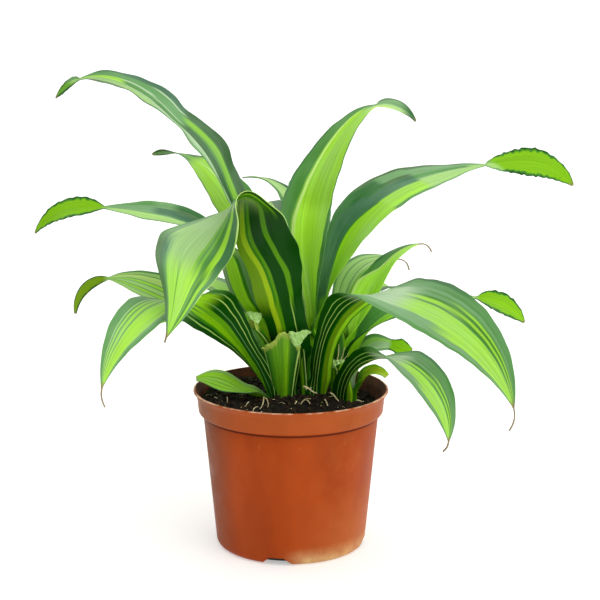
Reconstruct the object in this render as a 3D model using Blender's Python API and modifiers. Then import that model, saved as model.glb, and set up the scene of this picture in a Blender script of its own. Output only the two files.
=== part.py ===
"""A potted dracaena: three short shoots with long striped leaves in a thin plastic nursery pot.

Metres, +Z up. The origin is at the middle of the flat underside that the pot stands on, and the
plant faces -Y. Each leaf is a strip that is drawn along its midrib: it leaves its stem at a height,
and its heading, lift and roll change along its length.
"""

import math
from dataclasses import dataclass

import bmesh
import bpy
import numpy as np

MM = 0.001

# Pot, in millimetres: a lip, a band under it, a chamfer and a body that tapers to the foot
LIP_RADIUS = 70.0
POT_HEIGHT = 115.0
GROOVE_HEIGHT = 96.6
BODY_RADIUS = 62.9
FOOT_RADIUS = 54.2
FOOT_ROUND = 5.0
WALL = 1.3
FLOOR = 2.0
POT_SEGMENTS = 48

# Drain notches in the foot, in millimetres and degrees
NOTCH_COUNT = 4
NOTCH_WIDTH = 23.0
NOTCH_TOP_WIDTH = 10.5
NOTCH_HEIGHT = 5.5
NOTCH_DEPTH = 15.0
NOTCH_HEADING = 259.3
NOTCH_SHELL = 1.4
DRAIN_WIDTH = 6.0
DRAIN_LENGTH = 5.0

# Potting mix and stems, in millimetres
GAP = 0.3
SOIL_HEIGHT = 103.6
STEM_RADIUS = 8.0
STEM_TOP_RADIUS = 4.5
STEM_BOTTOM = 72.0
STEM_TAPER_FROM = 105.0
STEM_TAPER = 45.0
STEM_POINT = 14.0

# Blades, in millimetres
BLADE = 0.8
BLADE_OFFSET = 0.9
ACROSS = 4
TIP_WIDTH = 1.6

# Where the axis of each shoot stands, and the height of its furled tip, in millimetres
SHOOTS = {
    "a": (-4.0, 6.0, 161.0),
    "b": (16.0, 8.0, 158.0),
    "c": (37.0, 10.0, 156.0),
}


@dataclass(frozen=True)
class Leaf:
    """One blade. Lengths are in millimetres and angles in degrees.

    height is where it leaves the stem, foot its width there, belly where it is widest and neck
    where it is pinched before a last lobe, both as shares of its length. heading (0 is +X, 90 is
    +Y), lift and roll are read at even steps along it, and trough is how far its halves fold up.
    thread is the length of the dry tip and the lift that it ends with.
    """

    name: str
    shoot: str
    height: float
    length: float
    width: float
    foot: float
    belly: float
    heading: tuple
    lift: tuple
    roll: tuple
    trough: tuple
    neck: float = 1.0
    lobe: float = 0.0
    thread: tuple = ()
    steps: int = 18


LEAVES = (
    Leaf(
        "leaf_upper_left_arch", "a", 146, 299, 35, 7.5, 0.55,
        heading=(169, 163, 158, 136),
        lift=(77, 69, 53, 19, -42),
        roll=(7, -4, -13, -57),
        trough=(38, 21, 5),
        neck=0.90, lobe=11.5,
    ),
    Leaf(
        "leaf_left_back", "a", 137, 213, 31.5, 6.0, 0.56,
        heading=(131, 131, 134, 149),
        lift=(78, 70, 47, 26, -15),
        roll=(2, -28, -26, 5),
        trough=(39, 10, 6),
        neck=0.88, lobe=4.5,
    ),
    Leaf(
        "leaf_left_level", "a", 139, 239, 32.5, 9.0, 0.55,
        heading=(196, 194, 184, 167, 160),
        lift=(63, 52, 73, 22, 6, -8, -56),
        roll=(34, 27, -17, -34, -50),
        trough=(31, 15, 4),
        neck=0.75, lobe=17, steps=22,
    ),
    Leaf(
        "leaf_folded_front", "a", 115.5, 279, 62, 10.0, 0.60,
        heading=(290, 256, 244, 228, 208, 205, 235, 249, 242),
        lift=(90, 69, 61, 77, 73, -48, -31, -57, -56),
        roll=(-6, 2, 30, 26, 4, 22, -16, -51, -84),
        trough=(30, 2, 14),
        steps=28,
    ),
    Leaf(
        "leaf_centre_upright", "b", 146, 233.5, 39, 5.0, 0.46,
        heading=(72, 55, 35, 26),
        lift=(103, 102, 62, 38, -52),
        roll=(-26, 14, 17, 56),
        trough=(47, 13, 11),
        neck=0.84, lobe=12,
    ),
    Leaf(
        "leaf_upper_right", "b", 141, 281, 36, 5.0, 0.53,
        heading=(7, 23, 23, 10, 11),
        lift=(89, 76, 54, 19, 8, -1, -50),
        roll=(-16, 29, 31, 30, 81),
        trough=(48, 1, 4),
        neck=0.74, lobe=23.5, steps=22,
    ),
    Leaf(
        "leaf_right_arch", "b", 108, 271, 39.5, 12.0, 0.65,
        heading=(-74, -64, -43, -34),
        lift=(80, 46, 11, -24, -74),
        roll=(-36, -25, 38, 64),
        trough=(32, 7, 6),
        thread=(17, -120), steps=22,
    ),
    Leaf(
        "leaf_right_upright", "c", 140, 97, 26, 5.5, 0.51,
        heading=(-3, 16, 22, 26),
        lift=(78, 72, 58, 44, 5),
        roll=(21, 32, 7, 2),
        trough=(45, 22, 6),
        thread=(14, -60), steps=14,
    ),
    Leaf(
        "leaf_right_low", "c", 125, 155, 29.5, 7.0, 0.29,
        heading=(-2, -1, -6, -13),
        lift=(88, 43, 13, -5, -49),
        roll=(-5, 28, 21, 27),
        trough=(48, 15, 7),
        neck=0.75, lobe=18, steps=16,
    ),
    Leaf(
        "leaf_right_back", "c", 138, 102, 26, 7.5, 0.61,
        heading=(95, 61, 43, 27),
        lift=(84, 74, 47, 13, -11),
        roll=(-6, -7, 12, 7),
        trough=(41, 22, 4),
        thread=(14, -75), steps=14,
    ),
    Leaf(
        "leaf_front_right", "c", 106, 162, 31, 7.0, 0.59,
        heading=(-85, -58, -46, -35),
        lift=(59, 35, 6, -39, -92),
        roll=(23, -25, 11, 44),
        trough=(48, 22, 5),
        thread=(10, -135),
    ),
    Leaf(
        "leaf_right_short", "c", 120, 58, 21, 8.0, 0.56,
        heading=(-15, -15, -14, -12),
        lift=(66, 68, 24, -7, -22),
        roll=(-7, 9, 35, 40),
        trough=(40, 21, 5),
        neck=0.74, lobe=13.5, steps=14,
    ),
    Leaf(
        "leaf_rim_right", "c", 110, 33, 13, 8.5, 0.50,
        heading=(-13, -17, -19, -20),
        lift=(55, 59, 37, 0, -46),
        roll=(29, 23, 18, 6),
        trough=(35, 19, 6),
        steps=12,
    ),
    Leaf(
        "leaf_front_left", "a", 107, 221, 40.5, 4.0, 0.48,
        heading=(211, 226, 232, 226),
        lift=(59, 51, 23, -24, -75),
        roll=(19, 56, -7, -67),
        trough=(47, 5, 6),
        thread=(15, -118), steps=22,
    ),
    Leaf(
        "leaf_left_middle", "a", 115, 191, 29, 8.0, 0.64,
        heading=(190, 180, 168, 157),
        lift=(64, 40, 28, 0, -86),
        roll=(-4, -28, -43, -31),
        trough=(40, 15, 7),
        neck=0.78, lobe=5.4,
    ),
    Leaf(
        "leaf_rim_left", "a", 105.6, 59, 19, 6.5, 0.62,
        heading=(196, 190, 183, 178),
        lift=(20, 15, 27, 17, -10),
        roll=(1, -8, -33, -37),
        trough=(37, 13, 7),
        steps=12,
    ),
    Leaf(
        "leaf_back_curled", "b", 137, 174, 21.5, 7.0, 0.44,
        heading=(112, 108, 120, 140),
        lift=(78, 81, 63, 23, -11),
        roll=(-8, -22, -9, 1),
        trough=(40, 29, 6),
        neck=0.91, lobe=4, steps=16,
    ),
    Leaf(
        "leaf_far_1", "a", 124, 215, 32, 8.0, 0.55,
        heading=(100, 100),
        lift=(78, 63, 36, -2, -43),
        roll=(0, 0),
        trough=(40, 18, 6),
        steps=16,
    ),
    Leaf(
        "leaf_far_2", "a", 113, 180, 28, 8.0, 0.55,
        heading=(132, 132),
        lift=(63, 45, 17, -21, -59),
        roll=(0, 0),
        trough=(40, 18, 6),
        steps=14,
    ),
    Leaf(
        "leaf_far_3", "b", 124, 225, 33, 8.0, 0.55,
        heading=(92, 92),
        lift=(81, 67, 42, 6, -36),
        roll=(0, 0),
        trough=(40, 18, 6),
        steps=16,
    ),
    Leaf(
        "leaf_far_4", "b", 112.5, 151, 28, 8.0, 0.55,
        heading=(51, 51),
        lift=(68, 55, 26, -18, -61),
        roll=(0, 4, 10, 10),
        trough=(40, 18, 6),
        steps=14,
    ),
    Leaf(
        "leaf_far_5", "c", 112, 155, 26, 8.0, 0.55,
        heading=(82, 82),
        lift=(69, 52, 25, -13, -53),
        roll=(0, 0),
        trough=(40, 18, 6),
        steps=14,
    ),
    Leaf(
        "leaf_far_6", "a", 108, 146, 24, 8.0, 0.55,
        heading=(160, 160),
        lift=(53, 37, 12, -22, -58),
        roll=(0, 0),
        trough=(40, 18, 6),
        steps=14,
    ),
    Leaf(
        "leaf_far_7", "b", 110, 150, 26, 8.0, 0.55,
        heading=(118, 118),
        lift=(59, 39, 10, -26, -64),
        roll=(0, 0),
        trough=(40, 18, 6),
        steps=14,
    ),
)


@dataclass(frozen=True)
class TornSheath:
    """The foot of a leaf that was torn off: part of a sleeve round its shoot, with a ragged top.

    It spans half_angle to each side of heading, from bottom to top, and its inner radius grows from
    radius by flare on the way up, late where bend is high. ragged is the height of the teeth along
    its top.
    """

    name: str
    shoot: str
    heading: float
    half_angle: tuple
    bottom: float
    top: float
    radius: float
    flare: float
    bend: float
    ragged: float


TORN_SHEATHS = (
    TornSheath("torn_sheath_front", "a", 266, (34, 38), 105.4, 151.0, 10.2, 9.0, 1.3, 5.0),
    TornSheath("torn_sheath_left", "a", 212, (16, 14), 120.0, 166.0, 7.3, 20.0, 2.2, 4.0),
    TornSheath("torn_sheath_middle", "b", 222, (20, 19), 105.4, 148.0, 8.7, 4.5, 1.5, 3.0),
    TornSheath("torn_sheath_right", "c", 232, (18, 20), 105.4, 133.0, 8.8, 3.0, 1.4, 3.0),
)


def smooth(x: np.ndarray) -> np.ndarray:
    """An even ramp from 0 to 1."""
    x = np.clip(x, 0.0, 1.0)
    return x * x * (3.0 - 2.0 * x)


def along(values: tuple, s: np.ndarray) -> np.ndarray:
    """A smooth curve through values that stand at even steps of s from 0 to 1."""
    points = np.asarray(values, float)
    last = len(points) - 1
    x = np.clip(s, 0.0, 1.0) * last
    i = np.minimum(x.astype(int), last - 1)
    t = x - i
    before = np.where(i == 0, 2 * points[0] - points[1], points[np.maximum(i - 1, 0)])
    after = np.where(
        i == last - 1, 2 * points[-1] - points[-2], points[np.minimum(i + 2, last)]
    )
    start, end = points[i], points[i + 1]
    slope_in, slope_out = (end - before) / 2, (after - start) / 2
    return (
        (2 * t**3 - 3 * t**2 + 1) * start
        + (t**3 - 2 * t**2 + t) * slope_in
        + (3 * t**2 - 2 * t**3) * end
        + (t**3 - t**2) * slope_out
    )


def stem_radius(z: float) -> float:
    """The radius of a stem at height z, wrapped in its old sheaths."""
    share = min(max((z - STEM_TAPER_FROM) / STEM_TAPER, 0.0), 1.0)
    return STEM_RADIUS + (STEM_TOP_RADIUS - STEM_RADIUS) * share


def blade_width(leaf: Leaf, s: np.ndarray) -> np.ndarray:
    """The width of the blade at shares s of its length."""
    u = np.clip(s / leaf.neck, 0.0, 1.0)
    rise = leaf.foot + (leaf.width - leaf.foot) * smooth(u / leaf.belly)
    k = np.clip((u - leaf.belly) / (1.0 - leaf.belly), 0.0, 1.0)
    fall = TIP_WIDTH + (leaf.width - TIP_WIDTH) * np.cos(math.pi / 2 * k**1.15)
    width = np.where(u < leaf.belly, rise, fall)
    if leaf.lobe:
        v = np.clip((s - leaf.neck) / (1.0 - leaf.neck), 0.0, 1.0)
        lobe = TIP_WIDTH + (leaf.lobe - TIP_WIDTH) * np.sin(math.pi * v**0.8) ** 0.9
        width = np.where(s > leaf.neck, lobe, width)
    return width


def blade_grid(leaf: Leaf) -> np.ndarray:
    """Points of the blade in millimetres: one row a station, from one edge to the other."""
    s = np.linspace(0.0, 1.0, leaf.steps + 1)
    if leaf.neck < 1.0:
        s = np.sort(np.append(s, (leaf.neck, (1.0 + leaf.neck) / 2)))
    fine = np.linspace(0.0, 1.0, 241)
    heading, lift = np.radians(along(leaf.heading, fine)), np.radians(along(leaf.lift, fine))
    run = np.stack(
        [np.cos(lift) * np.cos(heading), np.cos(lift) * np.sin(heading), np.sin(lift)], -1
    )
    step = (run[1:] + run[:-1]) / 2 * leaf.length / 240
    path = np.concatenate([np.zeros((1, 3)), np.cumsum(step, 0)])
    x, y, _ = SHOOTS[leaf.shoot]
    out = stem_radius(leaf.height) + BLADE_OFFSET
    path += (
        x + out * math.cos(heading[0]),
        y + out * math.sin(heading[0]),
        leaf.height,
    )
    mid = np.stack([np.interp(s, fine, path[:, k]) for k in range(3)], -1)
    heading, lift = np.radians(along(leaf.heading, s)), np.radians(along(leaf.lift, s))
    # The blade lies flat on its stem at the foot, and rolls and folds as it comes away
    free = smooth(s * leaf.length / 16.0)
    roll = np.radians(along(leaf.roll, s)) * free
    trough = np.radians(along(leaf.trough, s)) * (0.2 + 0.8 * free)
    half = blade_width(leaf, s) / 2
    if leaf.thread:
        length, end = leaf.thread
        count = 5
        t = np.linspace(0.0, 1.0, count + 1)[1:]
        angles = lift[-1] + (math.radians(end) - lift[-1]) * smooth(t)
        stride = length / count
        run = np.stack(
            [
                np.cos(angles) * np.cos(heading[-1]),
                np.cos(angles) * np.sin(heading[-1]),
                np.sin(angles),
            ],
            -1,
        )
        mid = np.concatenate([mid, mid[-1] + np.cumsum(run * stride, 0)])
        heading = np.append(heading, np.full(count, heading[-1]))
        lift = np.append(lift, angles)
        roll = np.append(roll, np.full(count, roll[-1]))
        trough = np.append(trough, np.zeros(count))
        half = np.append(half, np.full(count, 0.5))
    level = np.stack([-np.sin(heading), np.cos(heading), 0 * heading], -1)
    forward = np.stack(
        [np.cos(lift) * np.cos(heading), np.cos(lift) * np.sin(heading), np.sin(lift)], -1
    )
    upper = np.cross(forward, level)
    side = level * np.cos(roll)[:, None] + upper * np.sin(roll)[:, None]
    face = upper * np.cos(roll)[:, None] - level * np.sin(roll)[:, None]
    c = np.linspace(1.0, -1.0, ACROSS + 1)
    across = (half * np.cos(trough))[:, None] * c[None, :]
    depth = (half * np.sin(trough))[:, None] * (np.abs(c) ** 1.3)[None, :]
    return mid[:, None] + across[..., None] * side[:, None] + depth[..., None] * face[:, None]


def sheath_grid(sheath: TornSheath) -> np.ndarray:
    """Points of a torn sheath in millimetres: rows from the bottom to the ragged top."""
    x, y, _ = SHOOTS[sheath.shoot]
    columns, rows = 8, 5
    c = np.linspace(-1.0, 1.0, columns + 1)
    teeth = sheath.ragged * (0.5 * np.sin(4.3 * c + 0.6) + 0.35 * np.sin(11.0 * c + 2.0) - c * c)
    t = np.linspace(0.0, 1.0, rows + 1)[:, None]
    low, high = sheath.half_angle
    angle = np.radians(sheath.heading + (low + (high - low) * t) * c)
    radius = sheath.radius + BLADE / 2 + sheath.flare * t**sheath.bend
    z = sheath.bottom + (sheath.top + teeth - sheath.bottom) * t
    return np.stack([x + radius * np.cos(angle), y + radius * np.sin(angle), z], -1)


def inner_radius(z: float) -> float:
    """The radius of the inside of the pot at height z, in millimetres."""
    profile = [(r - WALL, h) for r, h in reversed(outer_profile())]
    heights = [h for _, h in profile]
    return float(np.interp(z, heights, [r for r, _ in profile]))


def outer_profile() -> list:
    """The outside of the pot from the lip to the foot, as radius and height in millimetres."""
    body = [
        (LIP_RADIUS - 0.5, POT_HEIGHT),
        (LIP_RADIUS, POT_HEIGHT - 0.5),
        (LIP_RADIUS - 0.2, POT_HEIGHT - 1.6),
        (LIP_RADIUS - 2.0, POT_HEIGHT - 3.8),
        (LIP_RADIUS - 2.9, POT_HEIGHT - 8.0),
        (LIP_RADIUS - 3.5, GROOVE_HEIGHT + 4.4),
        (BODY_RADIUS + 0.8, GROOVE_HEIGHT + 0.6),
        (BODY_RADIUS - 0.3, GROOVE_HEIGHT),
        (BODY_RADIUS, GROOVE_HEIGHT - 1.0),
    ]
    low = FOOT_ROUND
    for k in range(5):
        turn = math.pi / 2 * k / 4
        body.append(
            (
                FOOT_RADIUS - FOOT_ROUND * (1 - math.cos(turn)),
                low - FOOT_ROUND * math.sin(turn),
            )
        )
    return body


def material(name: str, colour: tuple, roughness: float) -> bpy.types.Material:
    """A plain material. The colour is in linear RGB."""
    made = bpy.data.materials.new(name)
    made.use_nodes = True
    shader = made.node_tree.nodes["Principled BSDF"]
    shader.inputs["Base Color"].default_value = (*colour, 1.0)
    shader.inputs["Roughness"].default_value = roughness
    shader.inputs["Metallic"].default_value = 0.0
    made.diffuse_color = (*colour, 1.0)
    return made


def add_object(name: str, mesh: bpy.types.Mesh, paint, group) -> bpy.types.Object:
    """An object of this mesh in a collection."""
    made = bpy.data.objects.new(name, mesh)
    if paint:
        mesh.materials.append(paint)
    group.objects.link(made)
    return made


def sheet(name: str, grid: np.ndarray, paint, group) -> bpy.types.Object:
    """A thin solid sheet through a grid of points, split into the same triangles on both faces."""
    rows, columns = grid.shape[:2]
    index = np.arange(rows * columns).reshape(rows, columns)
    a, b = index[:-1, :-1], index[1:, :-1]
    c, d = index[1:, 1:], index[:-1, 1:]
    middle = (columns - 1) / 2
    lean = (np.arange(columns - 1) < middle)[None, :, None]
    first = np.where(lean, np.stack([a, b, c], -1), np.stack([a, b, d], -1))
    second = np.where(lean, np.stack([a, c, d], -1), np.stack([b, c, d], -1))
    faces = np.concatenate([first.reshape(-1, 3), second.reshape(-1, 3)])
    mesh = bpy.data.meshes.new(name)
    mesh.from_pydata((grid.reshape(-1, 3) * MM).tolist(), [], faces.tolist())
    mesh.validate()
    mesh.shade_smooth()
    made = add_object(name, mesh, paint, group)
    thick = made.modifiers.new("Thickness", "SOLIDIFY")
    thick.thickness = BLADE * MM
    thick.offset = 0.0
    return made


def turned(name: str, profile: list, steps: int, paint, group) -> bpy.types.Object:
    """A solid of revolution. The profile runs down its outer side and ends on the axis."""
    mesh = bpy.data.meshes.new(name)
    points = [(r * MM, 0.0, z * MM) for r, z in profile]
    edges = [(k, k + 1) for k in range(len(points) - 1)]
    mesh.from_pydata(points, edges, [])
    made = add_object(name, mesh, paint, group)
    screw = made.modifiers.new("Turn", "SCREW")
    screw.steps = steps
    screw.render_steps = steps
    screw.use_merge_vertices = True
    screw.merge_threshold = 0.00001
    screw.use_smooth_shade = True
    return made


def freeze(made: bpy.types.Object) -> None:
    """Replaces the object's mesh with its evaluated one, and drops its modifiers."""
    bpy.context.view_layer.update()
    graph = bpy.context.evaluated_depsgraph_get()
    mesh = bpy.data.meshes.new_from_object(made.evaluated_get(graph))
    made.modifiers.clear()
    made.data = mesh


def boolean(made: bpy.types.Object, other: bpy.types.Object, operation: str) -> None:
    """Adds an exact Boolean with another object."""
    cut = made.modifiers.new(other.name, "BOOLEAN")
    cut.operation = operation
    cut.solver = "EXACT"
    cut.object = other


def cutter(name: str, made: bmesh.types.BMesh, group) -> bpy.types.Object:
    """A hidden helper from a bmesh."""
    bmesh.ops.recalc_face_normals(made, faces=made.faces)
    mesh = bpy.data.meshes.new(name)
    made.to_mesh(mesh)
    made.free()
    helper = add_object(name, mesh, None, group)
    helper.hide_render = True
    helper.display_type = "WIRE"
    return helper


def notch(name: str, heading: float, spread: float, low: float, reach: float, group):
    """A block with sloping sides on the foot of the pot, made larger all round by spread."""
    inner = FOOT_RADIUS - NOTCH_DEPTH - spread
    made = bmesh.new()
    bmesh.ops.create_cube(made, size=1.0)
    for vert in made.verts:
        upper = vert.co.z > 0
        height = NOTCH_HEIGHT + spread if upper else low
        slope = (NOTCH_TOP_WIDTH - NOTCH_WIDTH) * height / NOTCH_HEIGHT
        half = (NOTCH_WIDTH + slope) / 2 + spread
        radial = inner if vert.co.x < 0 else reach
        if upper and vert.co.x < 0:
            radial += 1.5
        vert.co = (radial * MM, math.copysign(half, vert.co.y) * MM, height * MM)
    helper = cutter(name, made, group)
    helper.rotation_euler = (0.0, 0.0, math.radians(heading))
    return helper


def soil_relief(x: float, y: float) -> float:
    """How far the potting mix stands above its mean level at a place, in millimetres."""
    heap = 6.5 * math.exp(-((x + 42.0) ** 2 + (y - 40.0) ** 2) / 30.0**2)
    dip = -3.5 * math.exp(-((x - 56.0) ** 2 + (y - 6.0) ** 2) / 20.0**2)
    front = -1.0 * math.exp(-((x + 30.0) ** 2 + (y + 48.0) ** 2) / 24.0**2)
    lumps = 0.55 * math.sin(0.21 * x + 1.0) * math.sin(0.24 * y + 0.4)
    crumbs = 0.35 * math.sin(0.63 * x - 0.5 * y) + 0.3 * math.sin(0.47 * x + 0.71 * y + 2.0)
    return heap + dip + front + lumps + crumbs


def build_pot(group, cutters, paint) -> bpy.types.Object:
    """The thin pot, with four drain notches moulded into its foot."""
    outside = outer_profile()
    inside = [
        (LIP_RADIUS - WALL, POT_HEIGHT),
        (LIP_RADIUS - 2.0 - WALL, POT_HEIGHT - 4.0),
        (LIP_RADIUS - 2.9 - WALL, POT_HEIGHT - 8.0),
        (LIP_RADIUS - 3.5 - WALL, GROOVE_HEIGHT + 4.4),
        (BODY_RADIUS - WALL, GROOVE_HEIGHT),
        (FOOT_RADIUS - WALL + 0.2, FLOOR + 4.0),
        (FOOT_RADIUS - WALL - 3.0, FLOOR),
    ]
    # Up the inside from the middle of the floor, over the lip and down the outside
    profile = [(0.0, FLOOR)] + inside[::-1] + outside + [(0.0, 0.0)]
    pot = turned("pot", profile, POT_SEGMENTS, paint, group)
    for k in range(NOTCH_COUNT):
        heading = NOTCH_HEADING + 360.0 * k / NOTCH_COUNT
        reach = FOOT_RADIUS - 2.0
        shell = notch(f"notch_shell_{k}", heading, NOTCH_SHELL, 1.5, reach, cutters)
        boolean(pot, shell, "UNION")
    for k in range(NOTCH_COUNT):
        heading = NOTCH_HEADING + 360.0 * k / NOTCH_COUNT
        hollow = notch(f"notch_{k}", heading, 0.0, -4.0, FOOT_RADIUS + 6.0, cutters)
        boolean(pot, hollow, "DIFFERENCE")
        slot = bmesh.new()
        bmesh.ops.create_cube(slot, size=1.0)
        for vert in slot.verts:
            vert.co = (
                (FOOT_RADIUS - NOTCH_DEPTH / 2 + vert.co.x * DRAIN_LENGTH) * MM,
                vert.co.y * DRAIN_WIDTH * MM,
                (NOTCH_HEIGHT + vert.co.z * 6.0) * MM,
            )
        drain = cutter(f"drain_{k}", slot, cutters)
        drain.rotation_euler = (0.0, 0.0, math.radians(heading))
        boolean(pot, drain, "DIFFERENCE")
    return pot


def build_soil(group, cutters, paint) -> bpy.types.Object:
    """The potting mix: a plug that fits the pot, raised on top by a formula, with the stem holes."""
    side = [
        (inner_radius(SOIL_HEIGHT) - GAP, SOIL_HEIGHT),
        (LIP_RADIUS - 3.5 - WALL - GAP - 0.2, GROOVE_HEIGHT + 4.4),
        (BODY_RADIUS - WALL - GAP - 0.3, GROOVE_HEIGHT),
        (FOOT_RADIUS - WALL - GAP, FLOOR + 4.3),
        (FOOT_RADIUS - WALL - GAP - 3.4, FLOOR + GAP),
        (0.0, FLOOR + GAP),
    ]
    rings = [0.0, 11.0, 22.0, 33.0, 43.0, 52.0, 59.0]
    profile = [(r, SOIL_HEIGHT) for r in rings] + side
    soil = turned("soil", profile, 40, paint, group)
    freeze(soil)
    for vert in soil.data.vertices:
        if abs(vert.co.z - SOIL_HEIGHT * MM) > 1e-6:
            continue
        x, y = vert.co.x / MM, vert.co.y / MM
        z = SOIL_HEIGHT + soil_relief(x, y)
        radius = math.hypot(x, y)
        if radius > 62.0:
            shrink = (inner_radius(z) - GAP - 0.1) / radius
            vert.co.x *= shrink
            vert.co.y *= shrink
        vert.co.z = z * MM
    for name, (x, y, _) in SHOOTS.items():
        hole = bmesh.new()
        bmesh.ops.create_cone(
            hole,
            cap_ends=True,
            segments=28,
            radius1=(STEM_RADIUS + GAP) * MM,
            radius2=(STEM_RADIUS + GAP) * MM,
            depth=60.0 * MM,
        )
        helper = cutter(f"stem_hole_{name}", hole, cutters)
        helper.location = (x * MM, y * MM, (STEM_BOTTOM - GAP + 30.0) * MM)
        boolean(soil, helper, "DIFFERENCE")
    for k in range(NOTCH_COUNT):
        heading = NOTCH_HEADING + 360.0 * k / NOTCH_COUNT
        spread = NOTCH_SHELL + GAP
        room = notch(f"notch_room_{k}", heading, spread, 0.0, FOOT_RADIUS + 9.0, cutters)
        boolean(soil, room, "DIFFERENCE")
    return soil


def build_stem(name: str, group, paint) -> bpy.types.Object:
    """A short stem wrapped in old sheaths, which ends in the point of a furled young leaf."""
    x, y, top = SHOOTS[name]
    shoulder = top - STEM_POINT
    profile = [(0.0, top)]
    for k in range(1, 5):
        share = k / 4
        profile.append((stem_radius(shoulder) * share**0.75, top - STEM_POINT * share))
    profile += [(stem_radius(z), z) for z in (shoulder - 12.0, shoulder - 24.0)]
    profile += [(STEM_RADIUS, STEM_TAPER_FROM), (STEM_RADIUS, STEM_BOTTOM), (0.0, STEM_BOTTOM)]
    stem = turned(f"shoot_{name}_stem", profile, 16, paint, group)
    stem.location = (x * MM, y * MM, 0.0)
    return stem


def main() -> None:
    """Builds the plant and its pot."""
    for old in list(bpy.data.objects):
        bpy.data.objects.remove(old, do_unlink=True)
    scene = bpy.context.scene
    scene.unit_settings.system = "METRIC"
    group = bpy.data.collections.new("Potted dracaena")
    cutters = bpy.data.collections.new("Cutters")
    scene.collection.children.link(group)
    scene.collection.children.link(cutters)

    clay = material("Terracotta plastic", (0.40, 0.06, 0.012), 0.42)
    mix = material("Potting mix", (0.018, 0.011, 0.007), 0.95)
    stem_green = material("Shoot sheath", (0.10, 0.24, 0.02), 0.45)
    torn_green = material("Torn sheath", (0.13, 0.28, 0.02), 0.5)

    build_pot(group, cutters, clay)
    build_soil(group, cutters, mix)
    for name in SHOOTS:
        build_stem(name, group, stem_green)
    for sheath in TORN_SHEATHS:
        sheet(sheath.name, sheath_grid(sheath), torn_green, group)
    for k, leaf in enumerate(LEAVES):
        shade = 0.8 + 0.4 * (k % 3) / 2
        blade = material(f"Blade {k + 1}", (0.12 * shade, 0.36 * shade, 0.03), 0.4)
        sheet(leaf.name, blade_grid(leaf), blade, group)


main()
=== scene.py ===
"""Potted dracaena: fine leaf blades, torn sheaths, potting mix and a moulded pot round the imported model.

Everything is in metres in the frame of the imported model, and sizes that a grower or a moulder would
state are written in millimetres. The camera stands where the photograph was taken from.
"""

import logging
import math
from dataclasses import dataclass, field
from enum import Enum

import bmesh
import bpy
import numpy as np
from mathutils import Matrix, Vector


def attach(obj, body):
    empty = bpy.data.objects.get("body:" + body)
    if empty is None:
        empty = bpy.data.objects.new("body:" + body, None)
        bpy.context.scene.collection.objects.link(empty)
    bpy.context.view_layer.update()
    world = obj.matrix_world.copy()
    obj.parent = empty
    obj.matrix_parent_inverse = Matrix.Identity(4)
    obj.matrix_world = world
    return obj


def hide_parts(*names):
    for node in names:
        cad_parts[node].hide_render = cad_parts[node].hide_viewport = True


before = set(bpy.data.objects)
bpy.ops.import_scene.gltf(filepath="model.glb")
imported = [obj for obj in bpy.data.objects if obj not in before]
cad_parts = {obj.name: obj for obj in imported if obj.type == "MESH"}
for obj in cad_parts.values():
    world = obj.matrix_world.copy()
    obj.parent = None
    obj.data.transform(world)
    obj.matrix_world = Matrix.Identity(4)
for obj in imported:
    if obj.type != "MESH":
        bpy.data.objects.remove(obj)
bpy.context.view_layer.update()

LOG = logging.getLogger("dracaena")
MM = 0.001
BLADE_CHART = "Blade"
# The values that an even noise mostly keeps between
NOISE_SPAN = (0.3, 0.7)
# An edge that folds more than this stays sharp on a sheet
SHARP_FOLD = math.radians(55)

Colour = tuple[float, float, float, float]
Source = bpy.types.Node | bpy.types.NodeSocket


class Face(Enum):
    """Which face of a blade a finish is for. The value picks the tone."""

    UPPER = 0
    UNDER = 1


class Tone(Enum):
    """The greens of a striped blade: a letter, and sRGB hex for its upper face and its underside.

    Sage, slate and frost also stand for painted sheen.
    """

    DEEP = ("D", "#2C7430", "#17540A")
    GREEN = ("G", "#448F26", "#37800C")
    LEAF = ("F", "#74B82A", "#5F9E0E")
    VIVID = ("V", "#86C60C", "#7EBC0A")
    LIME = ("L", "#AAE83C", "#9AD822")
    MINT = ("T", "#B0DF7E", "#9CCB60")
    CREAM = ("C", "#CFF384", "#B9E070")
    # Sage bands on upper faces stand for a painted sheen
    SAGE = ("S", "#78AC70", "#6A9C58")
    MOSS = ("M", "#5A9C4C", "#4A8A34")
    OLIVE = ("O", "#7FA814", "#6E9A10")
    YELLOW = ("Y", "#B0CF22", "#A4C81A")
    DARK = ("K", "#1C5C14", "#0B4A02")
    # Slate stands partly for a painted grey-blue sheen on dark parts of a blade
    SLATE = ("B", "#3C7450", "#2C6A3C")
    PINE = ("N", "#4C7644", "#3A6226")
    HERB = ("H", "#A0CE78", "#8CB856")
    ACID = ("A", "#A2E020", "#9CDC1E")
    # Glow is a lime brighter than the leaf's own: painted light on the lower parts of upright blades
    GLOW = ("W", "#BCFA3A", "#B2F232")
    # Frost is a pale painted sheen where a blade turns over to the light
    FROST = ("P", "#B6D6AC", "#A6C49A")

    def colour(self, face: Face) -> Colour:
        """The tone on one face, as linear RGBA."""
        return linear(self.value[1 + face.value])


def linear(code: str) -> Colour:
    """An sRGB hex colour as linear RGBA.

    Args:
        code: six hex digits after a hash sign.

    Returns:
        The linear colour with an alpha of 1.
    """
    parts = [int(code[k : k + 2], 16) / 255 for k in (1, 3, 5)]
    turned = [p / 12.92 if p <= 0.04045 else ((p + 0.055) / 1.055) ** 2.4 for p in parts]
    return (*turned, 1.0)


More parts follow.
